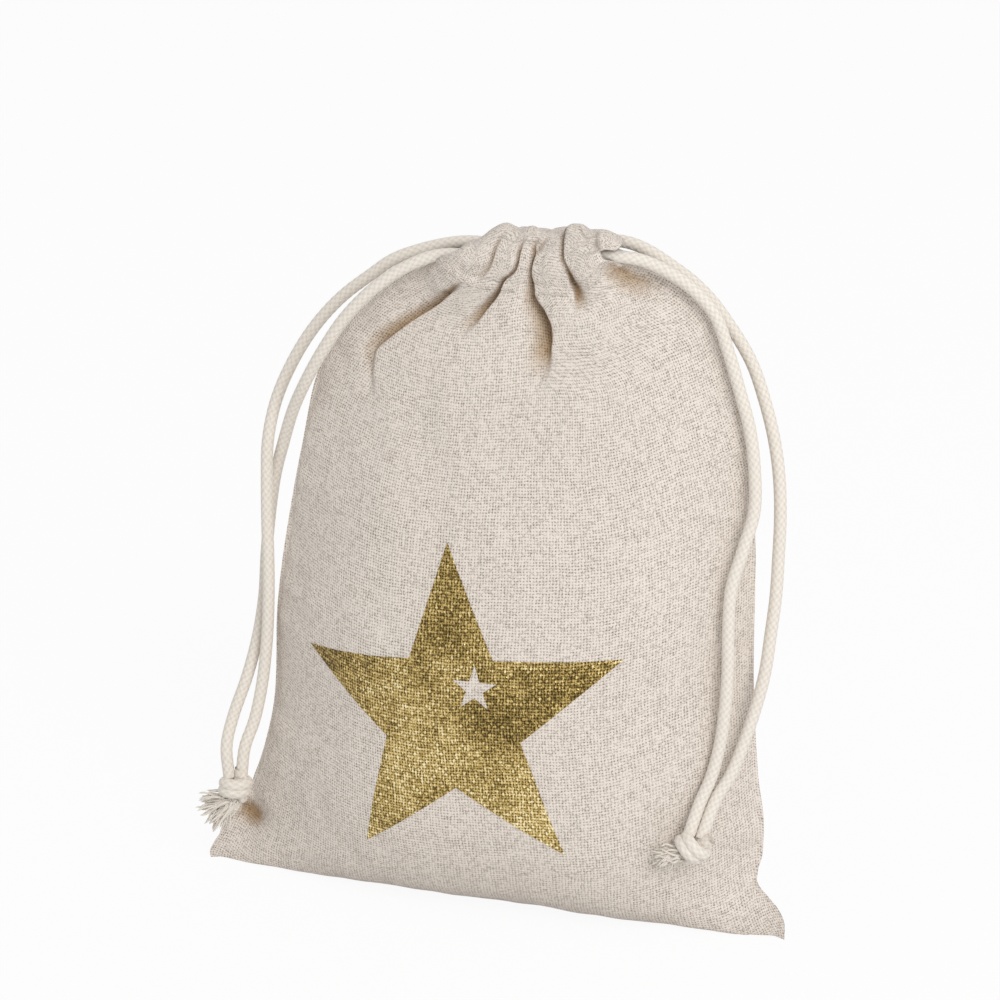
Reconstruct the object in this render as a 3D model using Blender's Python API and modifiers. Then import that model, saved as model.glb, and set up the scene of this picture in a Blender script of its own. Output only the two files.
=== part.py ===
"""Drawstring gift sack of plain woven cotton, standing up and gathered shut.

Metres, +Z up. The front faces -Y, and +X is on the right as one looks at the front.
The origin lies on the surface that the sack stands on, in the middle of the sack's box.

Two cloth panels are sewn together at the sides and the bottom. Each has a turned hem at the top, the
casing. Two cotton cords run through both casings, each in a loop round the whole mouth: the left cord
leaves both casings at the left, the right cord at the right, and a knot joins each cord's two ends.
"""

import math

import bmesh
import bpy
import numpy as np
from mathutils import Matrix, Vector

# The filled sack
SACK_WIDTH = 0.149  # from corner ear to corner ear
SACK_HEIGHT = 0.1725  # from the resting face to the rim
SACK_DEPTH = 0.052  # front to back, where it is fullest
BASE_DEPTH = 0.020  # front to back of the flat that it rests on
LEAN = 0.008  # how far the mouth stands behind the bottom seam
EAR_BEND = 0.0105  # how far the corner ears turn to the front
EAR_HEIGHT = 0.15  # share of a panel's length up to which they turn
MOUTH_WIDTH = 0.039  # of the gathered mouth
MOUTH_SHIFT = 0.007  # of the mouth's middle, to the right
MOUTH_GAP = 0.0058  # open way between the two casings
CASING_HEIGHT = 0.0137
PLEAT = 0.0018  # how far a pleat stands out of its creases
CREASE_WIDTH = 0.0017  # half the width of a crease, where it enters the casing

# Cloth, thread and print
CLOTH = 0.0007
GAP = 0.0003  # between pieces that touch
THREAD = 0.0006
SEAM_ALLOWANCE = 0.005
SEAM_THICKNESS = 0.0022  # both panels' edges, overlocked
STAR_RADIUS = 0.0425
SMALL_STAR_RADIUS = 0.0053
STAR_HEIGHT = 0.0585  # of the star's middle
STAR_SHIFT = -0.002
STAR_TURN = math.radians(4.2)
FOIL = 0.00025

# Cords
CORD = 0.003
CORD_GRIP = 0.013  # length of a pull's end that lies in the casing
CORD_SHOWING = 0.0015  # and that stands out of it
CORD_SPACING = 0.007  # between the points of a cord's line
KNOT_RADIUS = 0.0048
KNOT_LENGTH = 0.0100
TASSEL_RADIUS = 0.0038
TASSEL_LENGTH = 0.0075

BODY_HEIGHT = SACK_HEIGHT - CASING_HEIGHT
EDGE_GAP = CLOTH + GAP  # from the seam's plane to a panel's outer face, at the panel's edge
FULLEST = SACK_DEPTH / 2 - EDGE_GAP
CASING_WALL = CORD / 2 + 1.5 * GAP + CLOTH  # from a casing's middle line to its outer face
CHANNEL = MOUTH_GAP / 2 + CASING_WALL  # from the mouth's middle to a casing's middle line
CHANNEL_HEIGHT = BODY_HEIGHT + CASING_HEIGHT / 2
LEFT_CORD_HEIGHT = CHANNEL_HEIGHT - CORD  # the left cord lies under the right one
RIGHT_CORD_HEIGHT = LEFT_CORD_HEIGHT + CORD + GAP

# Side seams, up from the bottom seam: share of the seam's length, share of half the sack's width,
# share of the height up to the casing
LEFT_SEAM = [
    (0.00, 0.990, 0.007),
    (0.09, 0.852, 0.077),
    (0.165, 0.863, 0.160),
    (0.26, 0.805, 0.270),
    (0.41, 0.789, 0.441),
    (0.63, 0.702, 0.693),
    (0.76, 0.622, 0.838),
    (0.87, 0.446, 0.931),
    (0.95, 0.286, 0.987),
]
RIGHT_SEAM = [
    (0.00, 1.010, 0.007),
    (0.08, 0.875, 0.079),
    (0.15, 0.894, 0.154),
    (0.22, 0.869, 0.230),
    (0.35, 0.842, 0.378),
    (0.60, 0.818, 0.665),
    (0.80, 0.730, 0.888),
    (0.87, 0.638, 0.970),
    (0.94, 0.480, 1.018),
]
# Middle of a panel, up from the bottom seam: share of its length, of half the depth, of the height
BASE_EDGE = 0.051  # share of a panel's length that lies flat under the sack
MIDDLE = [
    (0.078, 0.54, 0.010),
    (0.126, 0.78, 0.047),
    (0.183, 0.93, 0.107),
    (0.286, 1.00, 0.220),
    (0.430, 0.985, 0.378),
    (0.589, 0.87, 0.554),
    (0.733, 0.70, 0.712),
    (0.856, 0.50, 0.845),
    (0.949, 0.33, 0.945),
]
BOXINESS = [(0.0, 6.0), (0.2, 3.0), (0.5, 2.6), (0.9, 2.9), (1.0, 4.5)]  # 2 is round, 5 is nearly square
PLEAT_RISE = [(0.0, 0.0), (0.66, 0.0), (0.86, 1.4), (0.94, 1.2), (1.0, 0.5)]
# Creases of the gathers: share of the way across (-1 is the left seam), share of a panel they reach down
CREASES = [
    (-0.75, 0.30),
    (-0.42, 0.16),
    (-0.15, 0.22),
    (0.10, 0.27),
    (0.36, 0.24),
    (0.62, 0.15),
    (0.85, 0.20),
]

# The cords' free lines, from the casing's end down to the knot
LEFT_FRONT_ROUTE = [
    (-0.0230, -0.0012, 0.1594),
    (-0.0313, -0.0023, 0.1534),
    (-0.0385, -0.0026, 0.1457),
    (-0.0444, -0.0023, 0.1369),
    (-0.0496, -0.0008, 0.1279),
    (-0.0543, 0.0024, 0.1190),
    (-0.0580, 0.0054, 0.1097),
    (-0.0611, 0.0070, 0.0999),
    (-0.0628, 0.0071, 0.0895),
    (-0.0635, 0.0058, 0.0792),
    (-0.0634, 0.0033, 0.0690),
    (-0.0641, 0.0000, 0.0591),
    (-0.0660, -0.0031, 0.0493),
    (-0.0684, -0.0066, 0.0402),
    (-0.0687, -0.0112, 0.0335),
]
LEFT_BACK_ROUTE = [
    (-0.0286, 0.0105, 0.1581),
    (-0.0370, 0.0105, 0.1523),
    (-0.0448, 0.0101, 0.1457),
    (-0.0513, 0.0092, 0.1379),
    (-0.0563, 0.0076, 0.1292),
    (-0.0599, 0.0056, 0.1198),
    (-0.0615, 0.0036, 0.1100),
    (-0.0615, 0.0022, 0.0999),
    (-0.0611, 0.0008, 0.0897),
    (-0.0605, -0.0006, 0.0796),
    (-0.0602, -0.0020, 0.0694),
    (-0.0605, -0.0031, 0.0593),
    (-0.0614, -0.0043, 0.0492),
    (-0.0627, -0.0066, 0.0401),
    (-0.0644, -0.0098, 0.0330),
]
RIGHT_FRONT_ROUTE = [
    (0.0353, 0.0008, 0.1646),
    (0.0439, 0.0010, 0.1604),
    (0.0507, 0.0010, 0.1538),
    (0.0543, 0.0010, 0.1448),
    (0.0572, 0.0009, 0.1357),
    (0.0600, 0.0004, 0.1265),
    (0.0616, -0.0006, 0.1170),
    (0.0621, -0.0019, 0.1075),
    (0.0602, -0.0042, 0.0984),
    (0.0582, -0.0066, 0.0894),
    (0.0580, -0.0079, 0.0798),
    (0.0583, -0.0086, 0.0702),
    (0.0581, -0.0094, 0.0606),
    (0.0573, -0.0105, 0.0510),
    (0.0558, -0.0124, 0.0430),
    (0.0538, -0.0150, 0.0370),
]
RIGHT_BACK_ROUTE = [
    (0.0392, 0.0105, 0.1607),
    (0.0465, 0.0105, 0.1551),
    (0.0525, 0.0105, 0.1478),
    (0.0577, 0.0099, 0.1400),
    (0.0614, 0.0085, 0.1315),
    (0.0644, 0.0066, 0.1227),
    (0.0663, 0.0049, 0.1137),
    (0.0672, 0.0032, 0.1045),
    (0.0674, 0.0016, 0.0952),
    (0.0674, 0.0000, 0.0859),
    (0.0668, -0.0017, 0.0766),
    (0.0661, -0.0037, 0.0674),
    (0.0644, -0.0059, 0.0584),
    (0.0621, -0.0083, 0.0496),
    (0.0600, -0.0106, 0.0432),
    (0.0572, -0.0134, 0.0375),
]
LEFT_KNOT = (-0.0664, -0.0120, 0.0226)
LEFT_TASSEL_TIP = (-0.0779, -0.0130, 0.0148)
RIGHT_KNOT = (0.0531, -0.0202, 0.0274)
RIGHT_TASSEL_TIP = (0.0462, -0.0265, 0.0262)


def along(stations, at):
    """A smooth line through (place, value) stations, read at the given places, that never overshoots."""
    place, value = np.array(stations, float).T
    slope = np.diff(value) / np.diff(place)
    before = np.append(slope[0], slope)
    after = np.append(slope, slope[-1])
    steepest = 3 * np.minimum(np.abs(before), np.abs(after))
    tangent = np.where(before * after > 0, np.clip((before + after) / 2, -steepest, steepest), 0)
    i = np.clip(np.searchsorted(place, at) - 1, 0, len(place) - 2)
    width = place[i + 1] - place[i]
    t = (np.asarray(at, float) - place[i]) / width
    rise = value[i + 1] - value[i]
    bend = (t - 1) * width * tangent[i] + t * width * tangent[i + 1]
    return value[i] + (3 - 2 * t) * t * t * rise + t * (t - 1) * bend


def seam_line(stations, hand, up):
    """X and Z of one side seam; hand is -1 for the left one and 1 for the right one."""
    out = [(place, share * SACK_WIDTH / 2) for place, share, _ in stations]
    out.append((1.0, MOUTH_WIDTH / 2 + hand * MOUTH_SHIFT))
    height = [(place, share * BODY_HEIGHT) for place, _, share in stations]
    height.append((1.0, BODY_HEIGHT - GAP))
    return hand * along(out, up), along(height, up)


def lean(z):
    """Y of the surface halfway between the panels, at a height."""
    return LEAN * (z / SACK_HEIGHT - 0.295)


def pleats(across, below, half_width):
    """From 0 in a crease to 1 on a pleat's crown, at a distance below the casing."""
    spread = CREASE_WIDTH + 0.12 * below
    furrow = np.zeros_like(across)
    for place, reach in CREASES:
        fade = np.clip(1 - below / (reach * BODY_HEIGHT), 0, 1)
        furrow = furrow + fade * np.exp(-(((across - place) * half_width / spread) ** 2))
    return (1 - np.minimum(furrow, 1)) * (1 - across**8)


def middle_surface(across, up):
    """Points halfway between the panels, and half the width there."""
    left_x, left_z = seam_line(LEFT_SEAM, -1, up)
    right_x, right_z = seam_line(RIGHT_SEAM, 1, up)
    half_width = (right_x - left_x) / 2
    z = left_z + (right_z - left_z) * (across + 1) / 2
    ear = across**4 * np.clip(1 - up / EAR_HEIGHT, 0, 1) ** 2
    return (left_x + right_x) / 2 + across * half_width, lean(z) - EAR_BEND * ear, z, half_width


def panel_points(side, across, up):
    """Points on the outer face of a panel; side is -1 for the front one and 1 for the back one."""
    x, middle_y, seam_z, half_width = middle_surface(across, up)
    base_share = (BASE_DEPTH / 2 - EDGE_GAP) / FULLEST
    mouth_share = (CHANNEL - EDGE_GAP) / FULLEST
    shares = [(0.0, 0.0), (BASE_EDGE, base_share)] + [(p, d) for p, d, _ in MIDDLE] + [(1.0, mouth_share)]
    heights = [(0.0, 0.0), (BASE_EDGE, 0.0)] + [(p, h) for p, _, h in MIDDLE] + [(1.0, 1 - GAP / BODY_HEIGHT)]
    crown = 1 - np.abs(across) ** along(BOXINESS, up)
    gathers = PLEAT * along(PLEAT_RISE, up) * pleats(-side * across, (1 - up) * BODY_HEIGHT, half_width)
    z = seam_z * (1 - crown) + BODY_HEIGHT * along(heights, up) * crown
    flattened = np.maximum(z - CLOTH / 2, 0) + CLOTH / 2 * np.clip((up - BASE_EDGE) / 0.2, 0, 1)
    y = middle_y + side * (EDGE_GAP + FULLEST * along(shares, up) * crown + gathers)
    return np.stack([x, y, flattened], -1)


def new_finish(name, color, roughness, metallic=0.0):
    made = bpy.data.materials.new(name)
    made.use_nodes = True
    shader = made.node_tree.nodes["Principled BSDF"]
    shader.inputs["Base Color"].default_value = (*color, 1.0)
    shader.inputs["Roughness"].default_value = roughness
    shader.inputs["Metallic"].default_value = metallic
    made.diffuse_color = (*color, 1.0)
    return made


def remove_everything():
    for found in list(bpy.data.objects):
        bpy.data.objects.remove(found)


def new_collection(name):
    made = bpy.data.collections.new(name)
    bpy.context.scene.collection.children.link(made)
    return made


def add(name, data, finish, collection):
    """A new object in the collection, with its finish."""
    made = bpy.data.objects.new(name, data)
    made.data.materials.append(finish)
    collection.objects.link(made)
    return made


def grid_mesh(name, points, inside_out=False, ring=False):
    """Four-sided faces over a grid of points; a ring closes in the grid's second direction."""
    rows, columns = points.shape[:2]
    shape = bmesh.new()
    corners = [[shape.verts.new(point) for point in row] for row in points.tolist()]
    for i in range(rows - 1):
        for j in range(columns if ring else columns - 1):
            k = (j + 1) % columns
            face = [corners[i][j], corners[i][k], corners[i + 1][k], corners[i + 1][j]]
            shape.faces.new(face[::-1] if inside_out else face)
    mesh = bpy.data.meshes.new(name)
    shape.to_mesh(mesh)
    shape.free()
    mesh.shade_smooth()
    return mesh


def thicken(made, thickness, offset=-1.0):
    """Gives an open surface its thickness: -1 is inwards from the face that shows, 0 is both ways."""
    shell = made.modifiers.new("thickness", "SOLIDIFY")
    shell.thickness = thickness
    shell.offset = offset
    return made


def crowded(count, power):
    """Numbers from -1 to 1 that stand closer together towards both ends."""
    even = np.linspace(-1, 1, count)
    return np.sign(even) * (1 - (1 - np.abs(even)) ** power)


def make_panel(name, side, finish, collection):
    """One side's cloth, from the bottom seam up to its casing."""
    above_base = 1 - (1 - MIDDLE[0][0]) * np.linspace(1, 0, 20) ** 1.25
    up = np.concatenate([[0.0, BASE_EDGE / 2, BASE_EDGE], above_base])
    grid = np.meshgrid(crowded(37, 1.2), up)
    mesh = grid_mesh(name, panel_points(side, *grid), inside_out=side > 0)
    return thicken(add(name, mesh, finish, collection), CLOTH)


def channel_y(side):
    """Y of a casing's middle line."""
    return lean(CHANNEL_HEIGHT) + side * CHANNEL


def rounded(value, power=0.6):
    """Squares off a circle's sine or cosine."""
    return np.sign(value) * np.abs(value) ** power


def make_casing(name, side, finish, collection):
    """The turned hem: a flat tube, open at its ends, whose inner wall stops short so that cords can cross."""
    across, angle = np.meshgrid(np.linspace(-1, 1, 29), np.linspace(0, 2 * math.pi, 12, endpoint=False))
    across, angle = across.T, angle.T
    outward = np.cos(angle)
    mitre = (CHANNEL + CORD / 2 + 2 * GAP) * (1 - outward) / 2
    gathers = PLEAT * pleats(-side * across, np.zeros_like(across), MOUTH_WIDTH / 2) * np.clip(outward, 0, 1)
    x = MOUTH_SHIFT + across * (MOUTH_WIDTH / 2 - mitre)
    y = channel_y(side) + side * (CASING_WALL * rounded(outward) + gathers)
    z = CHANNEL_HEIGHT + CASING_HEIGHT / 2 * rounded(np.sin(angle))
    mesh = grid_mesh(name, np.stack([x, y, z], -1), inside_out=side < 0, ring=True)
    return thicken(add(name, mesh, finish, collection), CLOTH)


def make_side_seam(name, hand, stations, finish, collection):
    """The two panels' edges, overlocked together, inside the sack."""
    x, z = seam_line(stations, hand, np.linspace(0.12, 0.80, 20))
    inset = np.array([0, SEAM_ALLOWANCE]) + SEAM_THICKNESS + 2 * GAP
    edges = [np.stack([x - hand * place, lean(z), z], -1) for place in inset]
    mesh = grid_mesh(name, np.stack(edges, 1))
    return thicken(add(name, mesh, finish, collection), SEAM_THICKNESS, 0)


def make_bottom_seam(name, finish, collection):
    """The same at the bottom, where the edges stand up inside."""
    across = np.linspace(-0.72, 0.72, 21)
    foot = panel_points(-1, across, np.zeros_like(across))
    foot[:, 1] += EDGE_GAP
    foot[:, 2] += CLOTH + 1.5 * GAP
    edges = [foot, foot + [0, 0, SEAM_ALLOWANCE]]
    return thicken(add(name, grid_mesh(name, np.stack(edges)), finish, collection), SEAM_THICKNESS, 0)


def star_corners(radius, middle):
    """The ten corners of a five-pointed star in the front's plane."""
    valley = radius * math.sin(math.radians(18)) / math.sin(math.radians(54))
    angle = STAR_TURN + math.pi / 2 + np.arange(10) * math.pi / 5
    reach = np.where(np.arange(10) % 2 == 0, radius, valley)
    x = middle[0] + reach * np.cos(angle)
    z = middle[1] + reach * np.sin(angle)
    return np.stack([x, np.full(10, -SACK_DEPTH / 2), z], -1)


def make_star(name, finish, collection, cutters):
    """Foil on the front's cloth, cut to a star with a small star left open."""
    middle = np.array([STAR_SHIFT, STAR_HEIGHT])
    small_middle = middle + [0.07 * STAR_RADIUS, 0.125 * STAR_RADIUS]
    outlines = np.stack([star_corners(STAR_RADIUS, middle), star_corners(SMALL_STAR_RADIUS, small_middle)])
    cutter = add(name + "_cutter", grid_mesh("star", outlines, inside_out=True, ring=True), finish, cutters)
    thicken(cutter, SACK_DEPTH / 2, 0)
    cutter.hide_render = True
    cutter.display_type = "WIRE"
    foil = panel_points(-1, *np.meshgrid(np.linspace(-0.8, 0.75, 24), np.linspace(0.09, 0.75, 24)))
    foil[..., 1] -= 1.5 * GAP
    made = thicken(add(name, grid_mesh(name, foil), finish, collection), FOIL, 1)
    cut = made.modifiers.new("star", "BOOLEAN")
    cut.operation = "INTERSECT"
    cut.object = cutter
    return made


def tube(name, points, thickness, finish, collection):
    """A cord or a thread along a line of points."""
    curve = bpy.data.curves.new(name, "CURVE")
    curve.dimensions = "3D"
    curve.bevel_depth = thickness / 2
    curve.bevel_resolution = 2
    curve.use_fill_caps = True
    line = curve.splines.new("POLY")
    line.points.add(len(points) - 1)
    for point, place in zip(line.points, points):
        point.co = (*place, 1.0)
    return add(name, curve, finish, collection)


def make_stitching(name, side, finish, collection):
    """The thread that closes a casing, on the cloth just under it."""
    across = np.linspace(-0.9, 0.9, 33)
    line = panel_points(side, across, np.full_like(across, 0.98))
    line[:, 1] += side * (THREAD / 2 + 2.5 * GAP)
    return tube(name, line, THREAD, finish, collection)


def smooth_line(route, spacing=CORD_SPACING):
    """Points an even distance apart on a smooth curve through the route."""
    route = np.array(route, float)
    route = np.vstack([2 * route[0] - route[1], route, 2 * route[-1] - route[-2]])
    t = np.linspace(0, 1, 24, endpoint=False)[:, None]
    fine = []
    for a, b, c, d in zip(route, route[1:], route[2:], route[3:]):
        fine.append(b + t / 2 * (c - a + t * (2 * a - 5 * b + 4 * c - d + t * (3 * b - a - 3 * c + d))))
    fine = np.vstack(fine + [route[-2:-1]])
    length = np.append(0, np.cumsum(np.linalg.norm(np.diff(fine, axis=0), axis=1)))
    places = np.linspace(0, length[-1], max(2, round(length[-1] / spacing) + 1))
    return np.stack([np.interp(places, length, axis) for axis in fine.T], -1)


def mouth_end(hand):
    """X of the casings' end at one side."""
    return MOUTH_SHIFT + hand * MOUTH_WIDTH / 2


def make_cord_run(name, hand, height, finish, collection):
    """The part of a cord that stays in the casings, with its turn at their far end."""
    start = mouth_end(hand) - hand * (CORD_GRIP + GAP)
    turn = mouth_end(-hand) + hand * (CHANNEL + CORD / 2 + 2 * GAP)
    arc = np.linspace(0, math.pi, 13)
    middle_y = lean(CHANNEL_HEIGHT)
    bend = [(turn - hand * CHANNEL * math.sin(a), middle_y - CHANNEL * math.cos(a), height) for a in arc]
    there = smooth_line([(start, middle_y - CHANNEL, height), bend[0]])[:-1]
    back = smooth_line([bend[-1], (start, middle_y + CHANNEL, height)])[1:]
    return tube(name, np.vstack([there, bend, back]), CORD, finish, collection)


def make_cord_exit(name, hand, side, height, finish, collection):
    """The end of a pull that grips inside a casing and comes out of it."""
    inside = (mouth_end(hand) - hand * CORD_GRIP, channel_y(side), height)
    outside = (mouth_end(hand) + hand * CORD_SHOWING, channel_y(side), height)
    return tube(name, smooth_line([inside, outside], CORD * 2), CORD, finish, collection)


def stands_at(place, above):
    """Where a turned piece stands: its middle or top at a place, its axis towards the point above."""
    upright = (Vector(above) - Vector(place)).to_track_quat("Z", "X")
    return Matrix.Translation(place) @ upright.to_matrix().to_4x4()


def turned(name, profile, stands, steps, finish, collection):
    """A solid turned from (radius, height) points that start and end on its axis, top first."""
    shape = bmesh.new()
    line = [shape.verts.new((radius, 0, height)) for radius, height in profile]
    for upper, lower in zip(line, line[1:]):
        shape.edges.new((upper, lower))
    mesh = bpy.data.meshes.new(name)
    shape.to_mesh(mesh)
    shape.free()
    made = add(name, mesh, finish, collection)
    made.matrix_world = stands
    screw = made.modifiers.new("turned", "SCREW")
    screw.steps = steps
    screw.render_steps = steps
    screw.use_merge_vertices = True
    screw.merge_threshold = 0.00001
    return made


def make_knot(name, place, above, finish, collection):
    """The outer form of a knot of two cords: two turns, one over the other."""
    top_half = [(0, 0.5), (0.5, 0.5), (0.85, 0.40), (1.0, 0.24), (0.93, 0.08), (0.84, 0.0)]
    outline = top_half + [(radius, -height) for radius, height in reversed(top_half[:-1])]
    profile = [(radius * KNOT_RADIUS, height * KNOT_LENGTH) for radius, height in outline]
    return turned(name, profile, stands_at(place, above), 20, finish, collection)


def make_tassel(name, knot, tip, finish, collection):
    """The outer form of the frayed ends below a knot: a brush that spreads."""
    direction = (Vector(tip) - Vector(knot)).normalized()
    top = Vector(knot) + direction * (max(KNOT_RADIUS, KNOT_LENGTH / 2) + 4 * GAP)
    outline = [(0, 0), (0.4, 0), (0.62, 0.25), (0.9, 0.6), (1.0, 0.85), (0.8, 1.0), (0, 1.0)]
    profile = [(radius * TASSEL_RADIUS, -drop * TASSEL_LENGTH) for radius, drop in outline]
    return turned(name, profile, stands_at(top, knot), 16, finish, collection)


def strand_ends(front_route, back_route, knot):
    """Where a pull's two strands enter its knot, side by side, and the point above between them."""
    front, back, middle = Vector(front_route[-1]), Vector(back_route[-1]), Vector(knot)
    above = (front + back) / 2
    axis = (above - middle).normalized()
    entry = middle + axis * (KNOT_LENGTH / 2 + 2 * GAP)
    aside = front - back
    aside = (aside - aside.dot(axis) * axis).normalized() * (CORD / 2 + GAP)
    return entry + aside, entry - aside, above


def make_strand(name, start, route, end, finish, collection):
    """A strand from where the casing lets go of the cord, down to its knot."""
    return tube(name, smooth_line([start, *route, tuple(end)]), CORD, finish, collection)


def make_cord(name, hand, height, routes, knot, tip, finish, collection):
    """One cord: its run in the casings, its two ends that pull out, and what hangs from them."""
    make_cord_run(name + "_cord_casing_run", hand, height, finish, collection)
    front_end, back_end, above = strand_ends(*routes, knot)
    hanging = [
        make_knot(name + "_knot", knot, above, finish, collection),
        make_tassel(name + "_tassel", knot, tip, finish, collection),
    ]
    for side_name, side, route, end in zip(("front", "back"), (-1, 1), routes, (front_end, back_end)):
        make_cord_exit(f"{name}_{side_name}_cord_exit", hand, side, height, finish, collection)
        start = (mouth_end(hand) + hand * (CORD_SHOWING + 4 * GAP), channel_y(side), height)
        hanging.append(make_strand(f"{name}_{side_name}_strand", start, route, end, finish, collection))
    swing = bpy.data.objects.new(name + "_swing_axis", None)
    swing.location = (mouth_end(hand) + hand * CORD_SHOWING, lean(CHANNEL_HEIGHT), height)
    collection.objects.link(swing)
    for piece in hanging:
        piece.parent = swing
        piece.matrix_parent_inverse = Matrix.Translation(-swing.location)


def main():
    remove_everything()
    sack = new_collection("fabric_gift_sack")
    cutters = new_collection("cutters")
    cloth = new_finish("natural cotton cloth", (0.67, 0.61, 0.55), 0.9)
    cord = new_finish("twisted cotton cord", (0.74, 0.69, 0.62), 0.95)
    thread = new_finish("sewing thread", (0.62, 0.56, 0.50), 0.8)
    foil = new_finish("gold foil", (0.48, 0.36, 0.17), 0.35, metallic=1.0)

    for side, side_name in ((-1, "front"), (1, "back")):
        make_panel(side_name + "_panel", side, cloth, sack)
        make_casing(side_name + "_casing", side, cloth, sack)
        make_stitching(side_name + "_casing_stitching", side, thread, sack)
    make_side_seam("left_side_seam", -1, LEFT_SEAM, thread, sack)
    make_side_seam("right_side_seam", 1, RIGHT_SEAM, thread, sack)
    make_bottom_seam("bottom_seam", thread, sack)
    make_star("star_print", foil, sack, cutters)

    left_routes = (LEFT_FRONT_ROUTE, LEFT_BACK_ROUTE)
    right_routes = (RIGHT_FRONT_ROUTE, RIGHT_BACK_ROUTE)
    make_cord("left", -1, LEFT_CORD_HEIGHT, left_routes, LEFT_KNOT, LEFT_TASSEL_TIP, cord, sack)
    make_cord("right", 1, RIGHT_CORD_HEIGHT, right_routes, RIGHT_KNOT, RIGHT_TASSEL_TIP, cord, sack)


main()
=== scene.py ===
# %% [markdown]
# # A cotton gift sack with a gold star
# The sack is two panels of plain-woven cotton, sewn together at the sides and the bottom. The top hems are
# channels for two cords, and the cords draw the mouth shut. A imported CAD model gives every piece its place
# and says what moves. This lesson dresses it: woven cloth with gathers, braided cords, knots, frayed ends
# and a pressed foil star.

import math

import bpy
import numpy as np
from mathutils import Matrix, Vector
from mathutils.bvhtree import BVHTree


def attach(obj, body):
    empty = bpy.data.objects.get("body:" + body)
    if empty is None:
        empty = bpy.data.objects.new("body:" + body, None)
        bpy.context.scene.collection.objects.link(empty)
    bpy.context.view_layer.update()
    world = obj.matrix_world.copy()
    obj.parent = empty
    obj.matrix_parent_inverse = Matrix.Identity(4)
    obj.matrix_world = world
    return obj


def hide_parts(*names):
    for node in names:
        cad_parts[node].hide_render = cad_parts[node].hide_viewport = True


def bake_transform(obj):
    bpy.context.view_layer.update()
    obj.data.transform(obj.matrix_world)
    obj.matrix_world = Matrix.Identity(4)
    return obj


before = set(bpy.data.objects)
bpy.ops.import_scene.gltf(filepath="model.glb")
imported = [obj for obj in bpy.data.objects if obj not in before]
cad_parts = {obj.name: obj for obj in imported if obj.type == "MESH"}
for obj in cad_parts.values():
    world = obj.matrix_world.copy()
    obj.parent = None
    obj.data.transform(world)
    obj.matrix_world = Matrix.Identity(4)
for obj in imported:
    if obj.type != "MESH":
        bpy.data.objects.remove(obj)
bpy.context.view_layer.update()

# %% [markdown]
# ## The camera
# A long lens, a little to the right of the sack and above it, keeps the cloth's lines nearly parallel. It
# comes first, so that everything after it can be looked at.

# %% Camera
lens = bpy.data.cameras.new("camera")
lens.lens = 126
lens.sensor_width = 36
camera = bpy.data.objects.new("camera", lens)
camera.location = (0.2358, -0.7492, 0.3963)
look = Vector((-0.0010, 0.0006, 0.1023)) - camera.location
camera.rotation_euler = look.to_track_quat("-Z", "Y").to_euler()
bpy.context.scene.collection.objects.link(camera)
bpy.context.scene.camera = camera
print("camera looks", [round(x, 3) for x in look.normalized()])

# %% [markdown]
# ## Lines through stations
# Most shapes here are described by a few stations, as a pattern cutter writes down a curve. `along` reads a
# line between them and never swings past one. Beyond the first and the last station it means nothing, so a
# crease is masked there. `smooth_line` draws a line in space through the points of a route.


# %% Lines
def along(stations, at, column=1):
    """A smooth line through the stations' places and one other column, read at the given places."""
    place, value = np.array(stations, float)[:, [0, column]].T
    slope = np.diff(value) / np.diff(place)
    before = np.append(slope[0], slope)
    after = np.append(slope, slope[-1])
    steepest = 3 * np.minimum(np.abs(before), np.abs(after))
    tangent = np.where(before * after > 0, np.clip((before + after) / 2, -steepest, steepest), 0)
    i = np.clip(np.searchsorted(place, at) - 1, 0, len(place) - 2)
    width = place[i + 1] - place[i]
    t = (np.asarray(at, float) - place[i]) / width
    rise = value[i + 1] - value[i]
    bend = (t - 1) * width * tangent[i] + t * width * tangent[i + 1]
    return value[i] + (3 - 2 * t) * t * t * rise + t * (t - 1) * bend


def lengths(line):
    """How far along a line each of its points is."""
    return np.append(0, np.cumsum(np.linalg.norm(np.diff(line, axis=0), axis=1)))


def smooth_line(route, spacing):
    """Points an even distance apart on a smooth curve through the route."""
    route = np.array(route, float)
    route = np.vstack([2 * route[0] - route[1], route, 2 * route[-1] - route[-2]])
    t = np.linspace(0, 1, 24, endpoint=False)[:, None]
    fine = []
    for a, b, c, d in zip(route, route[1:], route[2:], route[3:]):
        fine.append(b + t / 2 * (c - a + t * (2 * a - 5 * b + 4 * c - d + t * (3 * b - a - 3 * c + d))))
    fine = np.vstack(fine + [route[-2:-1]])
    length = lengths(fine)
    places = np.linspace(0, length[-1], max(2, round(length[-1] / spacing) + 1))
    return np.stack([np.interp(places, length, axis) for axis in fine.T], -1)


def ease(value, start, end):
    """0 before start, 1 after end, and a smooth step between them."""
    t = np.clip((np.asarray(value, float) - start) / (end - start), 0, 1)
    return t * t * (3 - 2 * t)


def bell(value):
    """1 at 0, and a smooth fall to almost nothing at 2 and at -2."""
    return np.exp(-(value**2))


# %% [markdown]
# ## Meshes from grids
# A panel of cloth and a length of cord are both a grid of points: rows up the cloth, or rings along the
# cord. One function turns grids into a mesh with its texture coordinates in metres, so that a thread is as
# wide on a cord as it says. Several grids can share a mesh, which is how the frayed ends are made.


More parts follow.
